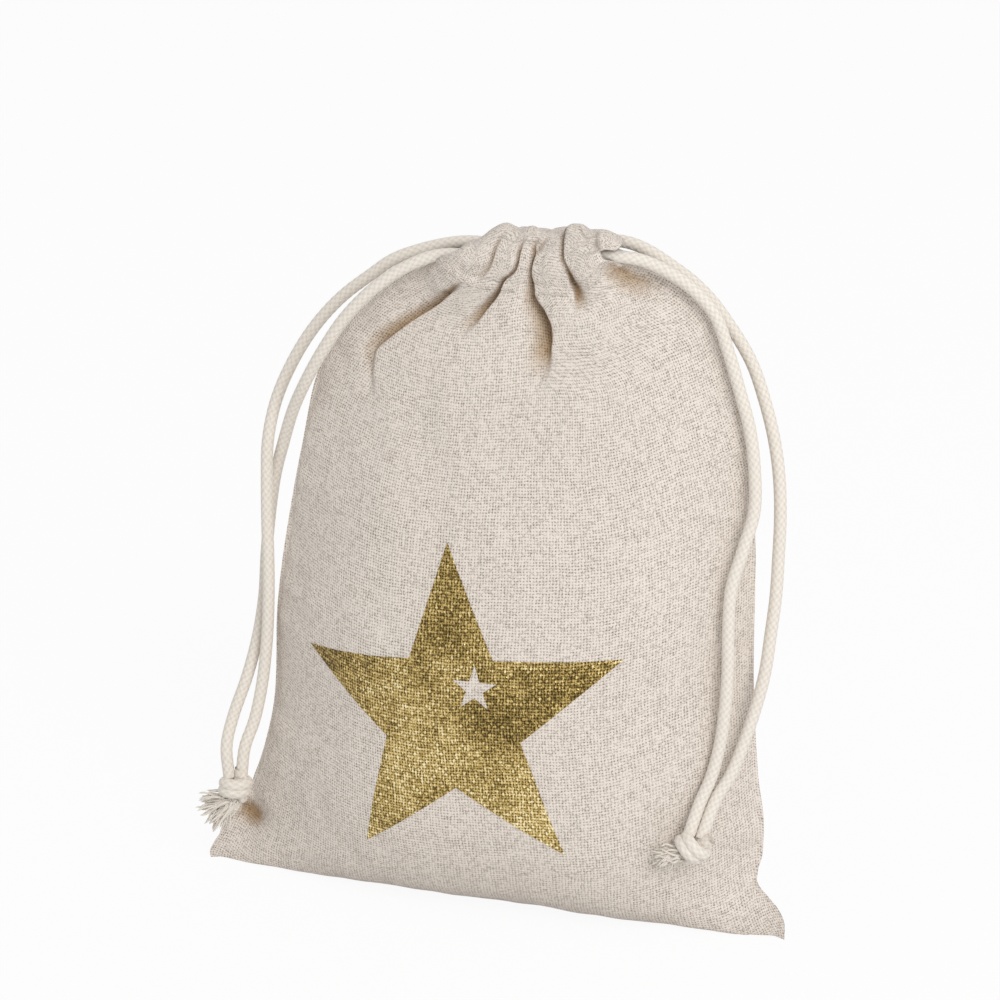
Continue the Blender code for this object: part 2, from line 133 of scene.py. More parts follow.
# %% Grids
def grid_object(name, grids, ring=False, flip=False):
    """A mesh of four-sided faces over (points, coordinates) grids; a ring closes in the second direction."""
    corners, faces, places, first = [], [], [], 0
    for points, coordinates in grids:
        rows, columns = points.shape[:2]
        index = first + np.arange(rows * columns).reshape(rows, columns)
        if ring:
            index = np.hstack([index, index[:, :1]])
        for grid, out in ((index, faces), (coordinates, places)):
            quads = [grid[:-1, :-1], grid[:-1, 1:], grid[1:, 1:], grid[1:, :-1]]
            stacked = np.stack(quads[::-1] if flip else quads, 2)
            out.append(stacked.reshape(-1, *stacked.shape[2:]))
        corners.append(points.reshape(-1, 3))
        first += rows * columns
    mesh = bpy.data.meshes.new(name)
    mesh.from_pydata(np.vstack(corners).tolist(), [], np.vstack(faces).tolist())
    mesh.uv_layers.new(name="threads").data.foreach_set("uv", np.vstack(places).ravel())
    mesh.shade_smooth()
    made = bpy.data.objects.new(name, mesh)
    bpy.context.scene.collection.objects.link(made)
    return made


def plain_weave(x, y):
    """Height from 0 to 1 of threads that pass over and under each other, one thread to each unit."""
    warp, weft = np.floor(x), np.floor(y)
    over = np.cos(np.pi * (x - warp - 0.5)) * (1 + 0.5 * np.cos(np.pi * (y - 0.5 + warp)))
    under = np.cos(np.pi * (y - weft - 0.5)) * (1 - 0.5 * np.cos(np.pi * (x - 0.5 + weft)))
    return np.maximum(over, under) / 1.5


def tube_grid(path, radius, around, strands=0, lay=1.0, relief=0.0):
    """A round tube along a path. With strands it is a braid: they cross once in each length of lay."""
    tangent = np.gradient(path, axis=0)
    tangent /= np.linalg.norm(tangent, axis=1)[:, None]
    start = np.cross(tangent[0], (1, 0, 0) if abs(tangent[0][0]) < 0.8 else (0, 0, 1))
    across = [start / np.linalg.norm(start)]
    for direction in tangent[1:]:
        turned = across[-1] - direction * (across[-1] @ direction)
        across.append(turned / np.linalg.norm(turned))
    across = np.array(across)
    aside = np.cross(tangent, across)
    share = np.linspace(0, 1, around + 1)
    length = lengths(path)
    coordinates = np.stack(np.broadcast_arrays(share[None, :], length[:, None]), -1)
    turn = share[:-1] * 2 * np.pi
    reach = np.broadcast_to(np.asarray(radius, float), len(path))[:, None] * np.ones(around)
    if strands:
        left, right = (strands * share[:-1] + hand * length[:, None] / lay for hand in (-1, 1))
        reach = reach * (1 + relief * (plain_weave(left, right) - 0.8))
    out = across[:, None] * np.cos(turn)[:, None] + aside[:, None] * np.sin(turn)[:, None]
    return path[:, None] + reach[..., None] * out, coordinates


# %% [markdown]
# ## Writing a finish as a sum
# A material is a net of nodes. `Wire` holds one output socket and takes part in sums, so `1 - mask` adds a
# Math node. Any other node comes from `node`: its type, then its settings, then what goes into its sockets.


# %% Wires between nodes
class Wire:
    """One output socket of a material, which can stand in a sum as a number can."""

    def __init__(self, tree, socket=None):
        self.tree = tree
        self.socket = socket

    def node(self, kind, settings, sockets, output=0):
        made = self.tree.nodes.new("ShaderNode" + kind)
        for name, value in settings.items():
            if name == "stops":
                ramp = made.color_ramp.elements
                while len(ramp) < len(value):
                    ramp.new(0.5)
                for stop, (place, color) in zip(ramp, value):
                    stop.position = place
                    stop.color = color
            else:
                setattr(made, name, value)
        self.plug(made, sockets)
        return Wire(self.tree, made.outputs[output])

    def plug(self, made, sockets):
        """Sets a node's sockets to numbers, colours or wires."""
        for name, value in sockets.items():
            if isinstance(value, Wire):
                self.tree.links.new(value.socket, made.inputs[name])
            else:
                made.inputs[name].default_value = value

    def math(self, operation, *values):
        return self.node("Math", {"operation": operation}, dict(enumerate(values)))

    def noise(self, place, scale, detail):
        return self.node("TexNoise", {}, {"Vector": place, "Scale": scale, "Detail": detail})

    def joined(self, *values):
        return self.node("CombineXYZ", {}, dict(enumerate(values)))

    def bumped(self, strength, distance, height):
        return self.node("Bump", {}, {"Strength": strength, "Distance": distance, "Height": height})

    def __add__(self, other):
        return self.math("ADD", self, other)

    def __sub__(self, other):
        return self.math("SUBTRACT", self, other)

    def __rsub__(self, other):
        return self.math("SUBTRACT", other, self)

    def __mul__(self, other):
        return self.math("MULTIPLY", self, other)

    def __truediv__(self, other):
        return self.math("DIVIDE", self, other)

    __radd__ = __add__
    __rmul__ = __mul__


def mixed(factor, first, second, way="MIX"):
    """A colour between two colours, or with the way MULTIPLY the first one tinted by the second."""
    settings = {"data_type": "RGBA", "blend_type": way}
    return factor.node("Mix", settings, {0: factor, 6: first, 7: second}, 2)


def new_finish(name):
    """An empty material, its shader and a wire to build from."""
    made = bpy.data.materials.new(name)
    made.use_nodes = True
    shader = made.node_tree.nodes["Principled BSDF"]
    return made, shader, Wire(made.node_tree)


def solid_place(wires):
    """Where a point lies on the object itself, whichever way the object is moved."""
    return wires.node("TexCoord", {}, {}, 3)


print("helpers are ready")

# %% [markdown]
# ## The cords
# Two soft cotton cords, 3 mm thick and braided. Each is one length that runs through both casings and turns
# round at their far end, so two strands come out at the near end and hang down to one knot. A strand slides
# with the pull and swings with it too.

# %% The cords' lines
CORD = 0.003
GRIP = 0.013  # length of a strand's end that lies in the casing
SHOWING = 0.0015  # and that stands out of it before it may bend
BENDING = 0.005  # and a length beyond that, out to bend_end
GAP = 0.0003  # between the end of a strand and the run inside the casing
KNOT_CORE = 0.0026  # from a knot's middle to where the strands run into it
ROUND_END = 0.0001  # radius that a cut end narrows to
MOUTH_WIDTH = 0.039
MOUTH_SHIFT = 0.007
CHANNEL = 0.00555  # from the mouth's middle to a casing's middle line
CORD_Y = {"front": -0.00023, "back": 0.01087}
CORD_HEIGHT = {"left": 0.16265, "right": 0.16595}
HAND = {"left": -1, "right": 1}
ROUTES = {
    "left_front": [
        (-0.0230, -0.0012, 0.1594), (-0.0313, -0.0023, 0.1534), (-0.0385, -0.0026, 0.1457),
        (-0.0444, -0.0023, 0.1369), (-0.0496, -0.0008, 0.1279), (-0.0543, 0.0024, 0.1190),
        (-0.0580, 0.0054, 0.1097), (-0.0611, 0.0070, 0.0999), (-0.0628, 0.0071, 0.0895),
        (-0.0635, 0.0058, 0.0792), (-0.0634, 0.0033, 0.0690), (-0.0641, 0.0000, 0.0591),
        (-0.0660, -0.0031, 0.0493), (-0.0684, -0.0066, 0.0402), (-0.0687, -0.0112, 0.0335),
    ],
    "left_back": [
        (-0.0286, 0.0105, 0.1581), (-0.0370, 0.0105, 0.1523), (-0.0448, 0.0101, 0.1457),
        (-0.0513, 0.0092, 0.1379), (-0.0563, 0.0076, 0.1292), (-0.0599, 0.0056, 0.1198),
        (-0.0615, 0.0036, 0.1100), (-0.0615, 0.0022, 0.0999), (-0.0611, 0.0008, 0.0897),
        (-0.0605, -0.0006, 0.0796), (-0.0602, -0.0020, 0.0694), (-0.0605, -0.0031, 0.0593),
        (-0.0614, -0.0043, 0.0492), (-0.0627, -0.0066, 0.0401), (-0.0644, -0.0098, 0.0330),
    ],
    "right_front": [
        (0.0353, 0.0008, 0.1646), (0.0439, 0.0010, 0.1604), (0.0507, 0.0010, 0.1538),
        (0.0543, 0.0010, 0.1448), (0.0572, 0.0009, 0.1357), (0.0600, 0.0004, 0.1265),
        (0.0616, -0.0006, 0.1170), (0.0621, -0.0019, 0.1075), (0.0602, -0.0042, 0.0984),
        (0.0582, -0.0066, 0.0894), (0.0580, -0.0079, 0.0798), (0.0583, -0.0086, 0.0702),
        (0.0581, -0.0094, 0.0606), (0.0573, -0.0105, 0.0510), (0.0558, -0.0124, 0.0430),
        (0.0538, -0.0150, 0.0370),
    ],
    "right_back": [
        (0.0392, 0.0105, 0.1607), (0.0465, 0.0105, 0.1551), (0.0525, 0.0105, 0.1478),
        (0.0577, 0.0099, 0.1400), (0.0614, 0.0085, 0.1315), (0.0644, 0.0066, 0.1227),
        (0.0663, 0.0049, 0.1137), (0.0672, 0.0032, 0.1045), (0.0674, 0.0016, 0.0952),
        (0.0674, 0.0000, 0.0859), (0.0668, -0.0017, 0.0766), (0.0661, -0.0037, 0.0674),
        (0.0644, -0.0059, 0.0584), (0.0621, -0.0083, 0.0496), (0.0600, -0.0106, 0.0432),
        (0.0572, -0.0134, 0.0375),
    ],
}
KNOT = {"left": (-0.0664, -0.0120, 0.0226), "right": (0.0531, -0.0202, 0.0274)}
BRAID_STRANDS = 6
BRAID_LAY = 0.0019
BRAID_RELIEF = 0.05

# %% [markdown]
# ## A soft cotton braid
# Fine cotton has no gloss. Its fibres catch light at the edges, which sheen gives, and hide it between the
# strands. The two sets of strands wind round the cord in opposite directions, so the same weave that makes
# the mesh's relief paints shade into the gaps, and stretched noise draws the single fibres.


# %% Cotton cord finish
def braid_height(wires, across, length, strands, lay):
    """Height of a braid's strands, from texture coordinates round and along the cord."""
    left = across * strands - length / lay
    right = across * strands + length / lay
    warp, weft = left.math("FLOOR", left), right.math("FLOOR", right)
    over = wires.math("COSINE", (left - warp - 0.5) * math.pi)
    over = over * (1 + 0.5 * wires.math("COSINE", (right - 0.5 + warp) * math.pi))
    under = wires.math("COSINE", (right - weft - 0.5) * math.pi)
    under = under * (1 - 0.5 * wires.math("COSINE", (left - 0.5 + weft) * math.pi))
    return wires.math("MAXIMUM", over, under) / 1.5


def cotton_cord(name, color, shade, lay):
    """Braided cotton in a colour, with a darker colour in its hollows as painted shade."""
    made, shader, wires = new_finish(name)
    place = wires.node("UVMap", {"uv_map": "threads"}, {})
    across, length = (wires.node("SeparateXYZ", {}, {0: place}, axis) for axis in (0, 1))
    height = braid_height(wires, across, length, BRAID_STRANDS, lay)
    fibre_place = place.node("VectorMath", {"operation": "MULTIPLY"}, {0: place, 1: (14.0, 5200.0, 1.0)})
    fibres = wires.noise(fibre_place, 1.0, 3.0)
    fluff = wires.noise(solid_place(wires), 1400.0, 2.0)
    tone = height * 0.55 + fibres * 0.3 + fluff * 0.25
    hollow = wires.math("SMOOTH_MIN", tone, 1.0, 0.1)
    rough_height = height * 0.7 + fibres * 0.3 + fluff * 0.35
    bump = wires.bumped(0.25, 0.0002, rough_height)
    # Painted shade: the gaps between the braid's strands take the darker colour.
    base = mixed(hollow, shade, color)
    wires.plug(shader, {"Base Color": base, "Normal": bump, "Roughness": 0.92, "Sheen Weight": 0.25})
    wires.plug(shader, {"Sheen Roughness": 0.5, "Specular IOR Level": 0.2})
    return made


cord_finish = cotton_cord("braided cotton cord", (0.88, 0.83, 0.765, 1), (0.56, 0.49, 0.40, 1), BRAID_LAY)
print(cord_finish.name, len(cord_finish.node_tree.nodes), "nodes")

# %% [markdown]
# ## Strands
# The part in the casing slides with the draw and the rest hangs on the pull. Here each strand is one mesh
# from its end inside the casing, out through the slit and down to its knot.


# %% Strands
def mouth_end(hand):
    """X of the casings' end at one side."""
    return MOUTH_SHIFT + hand * MOUTH_WIDTH / 2


def knot_entries(side_name):
    """Where the two strands enter their knot, side by side."""
    front, back = (Vector(ROUTES[f"{side_name}_{which}"][-1]) for which in ("front", "back"))
    middle = Vector(KNOT[side_name])
    axis = ((front + back) / 2 - middle).normalized()
    entry = middle + axis * KNOT_CORE
    aside = front - back
    aside = (aside - aside.dot(axis) * axis).normalized() * (CORD / 2)
    return {"front": entry + aside, "back": entry - aside}


def braided(name, paths, around, end_radius=ROUND_END):
    """A mesh of braided cord along one or more lines, with its ends narrowed to a radius."""
    grids = []
    for path in paths:
        radius = np.full(len(path), CORD / 2)
        radius[[0, -1]] = end_radius
        grids.append(tube_grid(path, radius, around, BRAID_STRANDS, BRAID_LAY, BRAID_RELIEF))
    return grid_object(name, grids, ring=True)


def finished(made, finish, body, slot, *nodes):
    """Gives a piece its finish and body, hides the CAD nodes that it stands for, and prints its size. The
    slot is not used.
    """
    made.data.materials.append(finish)
    if body:
        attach(made, body)
    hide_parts(*nodes)
    print(made.name, "in", finish.name, [round(x * 1000, 1) for x in made.dimensions], "mm")
    return made


strands = {}
for name, route in ROUTES.items():
    side_name, which = name.split("_")
    hand, height, y = HAND[side_name], CORD_HEIGHT[side_name], CORD_Y[which]
    inside = (mouth_end(hand) - hand * GRIP, y, height)
    exit_point = (mouth_end(hand) + hand * SHOWING, y, height)
    path = smooth_line([inside, exit_point, *route, tuple(knot_entries(side_name)[which])], 0.0003)
    made = braided(name + "_cord", [path], 36)
    finished(made, cord_finish, None, "cord", name + "_strand", name + "_cord_exit")
    bend_end = (exit_point[0] + hand * BENDING, y, height)
    side_name + "_draw"
    side_name + "_pull"
    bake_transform(made)
    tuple(exit_point)
    strands[name] = (made, path, exit_point)
    print("its line is", round(lengths(path)[-1] * 1000), "mm long")

# %% [markdown]
# ## The run through the casings
# Out of sight between the two hems, each cord turns round at the far end. It shows only to someone who looks
# down into the mouth, so it is the same braid with fewer faces.

# %% Casing runs
CORD_TURN = CHANNEL + CORD / 2 + 2 * GAP  # how far inside the casings' far end the turn begins
TURN_DROP = {"left": 0.0, "right": 0.0034}  # the right cord's turn lies lower, because the mouth does there
for side_name, hand in HAND.items():
    start = mouth_end(hand) - hand * (GRIP + GAP)
    turn = mouth_end(-hand) + hand * CORD_TURN
    middle_y, reach = (CORD_Y["front"] + CORD_Y["back"]) / 2, (CORD_Y["back"] - CORD_Y["front"]) / 2
    arc = np.linspace(0, math.pi, 13)
    height = CORD_HEIGHT[side_name]
    low = height - TURN_DROP[side_name]
    bend = [(turn - hand * reach * math.sin(a), middle_y - reach * math.cos(a), low) for a in arc]
    path = smooth_line([(start, CORD_Y["front"], height), *bend, (start, CORD_Y["back"], height)], 0.0005)
    made = braided(side_name + "_casing_cord", [path], 24)
    finished(made, cord_finish, "root", "cord", side_name + "_cord_casing_run")

# %% [markdown]
# ## The knots
# Both strands go through one overhand knot: down the middle, out at the front, once round everything and
# back in under themselves. Soft cotton squeezes flat in a knot, so the second strand nests in the first.

# %% Knots
# Turn round the knot in degrees, distance from its axis and height, in mm
OVERHAND = [(5, 0.5, 4.4), (15, 0.7, 2.6), (25, 1.0, 0.6), (20, 1.9, -1.2), (45, 2.6, -1.5)]
OVERHAND += [(75, 2.8, -1.2), (105, 2.8, -0.8), (145, 2.8, -0.4), (185, 2.7, 0.0), (225, 2.6, 0.4)]
OVERHAND += [(265, 2.6, 0.7), (305, 2.6, 1.0), (345, 2.6, 1.1), (380, 2.3, 0.9), (405, 1.4, 0.0)]
OVERHAND += [(425, 0.7, -1.6), (445, 0.6, -3.2), (445, 0.6, -4.6)]
KNOT_AXIS = {"left": (0.16, 0.12, 1.0), "right": (0.80, 0.12, 0.58)}
KNOT_FRONT = (0.25, -1.0, 0.2)


def knot_frame(side_name):
    """A knot's three directions as columns: to its right, to its back, and up its axis."""
    up = Vector(KNOT_AXIS[side_name]).normalized()
    front = Vector(KNOT_FRONT)
    back = -(front - front.dot(up) * up).normalized()
    right = back.cross(up)
    return np.array([right, back, up]).T


def knot_paths(side_name):
    """The lines of the two strands inside their knot."""
    turns = knot_frame(side_name)
    for lift, swell, late in ((-1.05, 1.0, 0), (1.05, 1.03, 14)):
        route = []
        for angle, reach, height in OVERHAND:
            a = math.radians(angle + late)
            local = (reach * swell * math.cos(a), reach * swell * math.sin(a), height + lift)
            route.append(np.array(KNOT[side_name]) + turns @ np.array(local) / 1000)
        yield smooth_line(route, 0.0004)


knots = {}
for side_name in HAND:
    made = braided(side_name + "_cord_knot", knot_paths(side_name), 28, CORD / 2)
    knots[side_name] = finished(made, cord_finish, side_name + "_pull", "cord", side_name + "_knot")

# %% [markdown]
# ## Frayed ends
# Below the knot the braid has come undone. The two ends are dozens of soft yarns that fan out, bend and
# curl. A seeded random generator makes them differ, and makes them the same on each run.

# %% Tassels
YARNS = 130
BUNCHES = {"left": [(-0.95, -0.10, -0.30), (-0.62, -0.25, -0.80)], "right": [(-0.97, -0.18, -0.12)] * 2}
TASSEL_LENGTH = {"left": 0.0082, "right": 0.0052}
TASSEL_START = 0.0030  # below the knot's middle
tassels = {}
for side_name in HAND:
    random = np.random.default_rng(7 if side_name == "left" else 8)
    end = np.array(KNOT[side_name]) - knot_frame(side_name)[:, 2] * TASSEL_START
    grids = []
    for yarn in range(YARNS):
        way = np.array(BUNCHES[side_name][yarn % 2]) + random.normal(0, 0.20, 3)
        way /= np.linalg.norm(way)
        long = TASSEL_LENGTH[side_name] * random.uniform(0.75, 1.05)
        start = end + random.normal(0, 0.00065, 3)
        sag = np.array([0, 0, -1.0]) * random.uniform(0.0, 0.0012)
        curl = random.normal(0, 0.00035, 3)
        steps = np.linspace(0, 1, 12)[:, None]
        line = start + way * long * steps + sag * steps**2 + curl * np.sin(steps * random.uniform(3, 8))
        thick = random.uniform(0.00025, 0.00042) * (1 - 0.45 * steps[:, 0])
        thick[-1] = 0.00002
        grids.append(tube_grid(line, thick, 6))
    made = grid_object(side_name + "_frayed_ends", grids, ring=True)
    tassels[side_name] = finished(made, cord_finish, side_name + "_pull", "cord", side_name + "_tassel")

for name, (made, path, exit_point) in strands.items():
    side_name, which = name.split("_")
    pieces = [knots[side_name], tassels[side_name]] if which == "front" else []
    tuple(exit_point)
    round(float(lengths(path)[-1]), 3)

# %% [markdown]
# ## The filled sack's form
# Everything inside pushes the two panels apart, and the cords pull their tops together. The side seams, the
# middle of a panel and how square it is at each height describe that form. The sizes are the CAD model's.
# The bottom corners, the front's lower edge and the casings' ends are drawn more finely than there.

# %% The sack's outline
SACK_WIDTH = 0.149
SACK_HEIGHT = 0.1725
SACK_DEPTH = 0.052
CASING_HEIGHT = 0.0137
BODY_HEIGHT = SACK_HEIGHT - CASING_HEIGHT
BASE_DEPTH = 0.020
LEAN = 0.008
FRONT_BASE = 0.0051  # from the bottom seam to the front's lower edge
EAR_BEND = 0.0051  # how far the bottom corners turn to the front
EAR_HEIGHT = (0.03, 0.15)  # shares of the length between which that fades out
SLIT_START = 0.965  # share of the length from which the cloth narrows to the slits
FOOT = 3.0  # how much squarer the flat that it stands on is, so that it reaches far into the ears
NECK_WALL = 0.0034  # from a casing's middle line to its outer face at the stitches
ROUNDING = 0.0016  # how far the cloth turns in at the casings' ends
FULLEST = SACK_DEPTH / 2

# Side seams, up from the bottom seam: share of the length, of half the width, of the height to the casing
LEFT_SEAM = [
    (0.000, 1.013, 0.000), (0.017, 1.016, 0.010), (0.034, 1.001, 0.027), (0.051, 0.973, 0.049),
    (0.065, 0.940, 0.081), (0.085, 0.906, 0.108), (0.105, 0.885, 0.123), (0.130, 0.874, 0.142),
    (0.160, 0.858, 0.163), (0.200, 0.834, 0.202), (0.26, 0.805, 0.270), (0.41, 0.789, 0.441),
    (0.63, 0.702, 0.693), (0.76, 0.622, 0.842), (0.87, 0.446, 0.944), (0.95, 0.286, 0.994),
]
RIGHT_SEAM = [
    (0.000, 0.989, 0.000), (0.017, 0.989, 0.016), (0.034, 0.982, 0.034), (0.051, 0.956, 0.052),
    (0.065, 0.923, 0.066), (0.080, 0.894, 0.077), (0.095, 0.882, 0.086), (0.115, 0.883, 0.100),
    (0.140, 0.891, 0.121), (0.180, 0.892, 0.165), (0.240, 0.867, 0.245), (0.35, 0.842, 0.378),
    (0.60, 0.818, 0.665), (0.80, 0.730, 0.888), (0.87, 0.638, 0.970), (0.94, 0.480, 1.018),
]
# Middle of a panel: share of its length, of half the depth, of the height
BASE_EDGE = 0.051
MIDDLE = [
    (0.078, 0.54, 0.010), (0.126, 0.78, 0.047), (0.183, 0.93, 0.107), (0.286, 1.00, 0.220),
    (0.430, 0.985, 0.378), (0.589, 0.87, 0.554), (0.733, 0.70, 0.712), (0.856, 0.50, 0.845),
    (0.949, 0.35, 0.945),
]
FRONT_LOW = [(0.078, 0.40, 0.012), (0.126, 0.70, 0.047), (0.183, 0.90, 0.107)]  # the front's own start
# How square a panel is at each share of its height: 2 is round, 5 nearly square
BOXINESS = [(0.0, 16.0), (0.05, 12.0), (0.1, 5.5), (0.2, 3.0), (0.5, 2.6), (0.9, 2.9), (1.0, 5.0)]
# Place across the mouth, and how far the stitches rise there above the middle's height
NECK_RISE = [(-1.0, 0.0006), (-0.7, 0.0), (0.45, 0.0), (0.75, 0.0014), (1.0, 0.0046)]


def seam_line(stations, hand, up):
    """X and Z of one side seam; hand is -1 for the left one and 1 for the right one."""
    top = (1.0, MOUTH_WIDTH / 2 + hand * MOUTH_SHIFT, BODY_HEIGHT + along(NECK_RISE, hand))
    sized = np.vstack([np.array(stations) * (1, SACK_WIDTH / 2, BODY_HEIGHT), top])
    return hand * along(sized, up), along(sized, up, 2)


def lean(z):
    """Y of the surface halfway between the panels, at a height."""
    return LEAN * (z / SACK_HEIGHT - 0.295)


def body_points(side, across, up):
    """Points of a panel without its gathers, and half its width there; side is -1 for the front one."""
    left_x, left_z = seam_line(LEFT_SEAM, -1, up)
    right_x, right_z = seam_line(RIGHT_SEAM, 1, up)
    half_width = (right_x - left_x) / 2
    seam_z = left_z + (right_z - left_z) * (across + 1) / 2
    ear = across**8 * (1 - ease(up, *EAR_HEIGHT))
    middle_y = lean(seam_z) - EAR_BEND * ear
    middle = FRONT_LOW + MIDDLE[3:] if side < 0 else MIDDLE
    base = FRONT_BASE if side < 0 else BASE_DEPTH / 2
    neck = (1.0, (CHANNEL + NECK_WALL) / FULLEST, 1.0)
    stations = [(0.0, 0.0, 0.0), (BASE_EDGE, base / FULLEST, 0.0), *middle, neck]
    slit = ease(up, SLIT_START, 1.0)
    power = along(BOXINESS, up)
    crown = 1 - np.abs(across) ** power * (1 - slit)
    foot = 1 + FOOT * (1 - ease(up, 0.045, 0.08))
    lying = 1 - np.abs(across) ** (power * foot) * (1 - slit)
    rounded_end = ROUNDING * np.abs(across) ** 12 * slit
    x = (left_x + right_x) / 2 + across * half_width
    y = middle_y + side * (FULLEST * along(stations, up) * crown - rounded_end)
    top = BODY_HEIGHT * along(stations, up, 2) + along(NECK_RISE, across) * ease(up, 0.8, 1.0)
    return np.stack([x, y, np.maximum(seam_z * (1 - lying) + top * lying, 0)], -1), half_width


# %% [markdown]
# ## The casing
# The hem is folded over at the rim and sewn down, which makes a flat tube round the cord. Going up the
# cloth, the outer wall swells over the cord, turns over at the rim and comes down inside to the stitches.
# Its ends are cut back at the cord's height, so that the cord can leave.

# %% The casing's form
# Share of the way round the hem, distance out from the channel's middle line, share of the height
HEM = [
    (0.00, 0.0034, 0.00), (0.10, 0.0039, 0.15), (0.28, 0.0046, 0.45), (0.41, 0.0042, 0.75),
    (0.48, 0.0033, 0.92), (0.53, 0.0018, 0.99), (0.57, 0.0002, 1.00), (0.62, -0.0014, 0.96),
    (0.70, -0.0023, 0.78), (0.85, -0.0024, 0.38), (0.95, -0.0018, 0.10), (1.00, 0.0012, 0.00),
]
# Share of the way round the hem, and X of the casing's two ends there
LEFT_END = [(0.0, -0.0125), (0.14, -0.0112), (0.30, -0.0102), (0.44, -0.0098), (0.53, -0.0090)]
LEFT_END += [(0.62, -0.0096), (0.80, -0.0110), (1.0, -0.0125)]
RIGHT_END = [(0.0, 0.0265), (0.14, 0.0250), (0.30, 0.0244), (0.38, 0.0254), (0.46, 0.0290), (0.53, 0.0312)]
RIGHT_END += [(0.62, 0.0305), (0.80, 0.0280), (1.0, 0.0265)]
# How much further the front one's last few millimetres reach over the cord
RIGHT_TIP = [(0.0, 0.0), (0.28, 0.0), (0.33, 0.0010), (0.37, 0.0026), (0.46, -0.0002), (0.53, -0.0022)]
RIGHT_TIP += [(0.62, -0.0015), (1.0, 0.0)]
BACK_SHORTER = (0.0020, 0.0095)  # how much shorter the back casing is at its two ends
# X and height of the rim
FRONT_RIM = [
    (-0.0125, 0.1642), (-0.0096, 0.1653), (-0.0082, 0.1664), (-0.0060, 0.1671), (-0.0047, 0.1682),
    (-0.0023, 0.1702), (0.0008, 0.1716), (0.0030, 0.1709), (0.0042, 0.1705), (0.0070, 0.1714),
    (0.0105, 0.1703), (0.0145, 0.1705), (0.0154, 0.1718), (0.0172, 0.1728), (0.0189, 0.1728),
    (0.0212, 0.1717), (0.0240, 0.1720), (0.0259, 0.1716), (0.0280, 0.1704), (0.0303, 0.1682),
    (0.0315, 0.1675),
]
BACK_RIM = [
    (-0.0125, 0.1622), (-0.0070, 0.1636), (-0.0030, 0.1655), (0.0010, 0.1672), (0.0070, 0.1672),
    (0.0120, 0.1682), (0.0180, 0.1676), (0.0205, 0.1671), (0.0270, 0.1665),
]


def casing_points(side, across, hem):
    """Points of a casing without its gathers: hem runs from 0 at the stitches, over the rim, to 1."""
    shorter = ease(hem, 0, 0.25) * (side > 0)
    left = along(LEFT_END, hem) + BACK_SHORTER[0] * shorter
    right = along(RIGHT_END, hem) - BACK_SHORTER[1] * shorter
    x = left + (right - left) * (across + 1) / 2
    x += along(RIGHT_TIP, hem) * np.clip(across, 0, 1) ** 8 * (side < 0)
    rim = along(FRONT_RIM if side < 0 else BACK_RIM, x)
    bottom = BODY_HEIGHT + along(NECK_RISE, across)
    out = along(HEM, hem) - ROUNDING * np.abs(across) ** 12
    height = along(HEM, hem, 2)
    middle_y = lean(BODY_HEIGHT + CASING_HEIGHT * height) + side * CHANNEL
    return np.stack([x, middle_y + side * out, bottom + (rim - bottom) * height], -1)


# %% [markdown]
# ## The slits
# Each cord leaves through a slit between the two casings. There the front panel's edge is drawn up in front
# of the cord, so that the slit itself hardly shows.

# %% The slits
SLIT_REACH = 0.0055
# Level, and how far the front panel's edge is drawn sideways, forward and up there, in mm
FRONT_SLITS = {
    -1: [(0.90, 0, 0, 0), (0.943, 0.4, -1.4, 0.4), (0.967, 0.8, -4.8, 2.2), (0.979, 0.2, -4.1, 3.8),
         (0.991, -1.1, -1.6, 4.2), (1.0, -2.0, -0.9, 3.2), (1.017, -1.6, -1.0, 3.2),
         (1.032, -1.1, -0.9, 3.0), (1.047, -0.4, -0.8, 2.5), (1.063, 0.2, -0.5, 1.5), (1.08, 0, 0, 0)],
    1: [(0.943, 0, 0, 0), (0.961, 0.1, -1.2, 0.1), (0.976, 0.2, -1.9, 1.8), (0.991, 0, 0, 2.8),
        (1.0, -0.1, -0.4, 2.2), (1.017, 0.1, -0.3, 1.1), (1.032, 0.2, -0.1, 0.5), (1.047, 0, 0, 0)],
}


def slit_pull(slits, level, across, half_width):
    """How far the points near the slits are drawn, in metres."""
    pull = np.zeros(level.shape + (3,))
    for hand, stations in slits.items():
        near = bell((1 - hand * across) * half_width / SLIT_REACH)
        drawn = np.stack([along(stations, level, column) for column in (1, 2, 3)], -1)
        outside = (level < stations[0][0]) | (level > stations[-1][0])
        pull += drawn / 1000 * np.where(outside, 0, near)[..., None]
    return pull


# %% [markdown]
# ## Gathers
# Where the mouth is drawn shut, the spare cloth folds into flutes. Each crease between two flutes is a line
# on the cloth. On one side of it a fold lies over with a sharp edge, and on the other the cloth falls away
# gently into the hollow. `level` runs up the body from 0 to 1 and on over the casing.

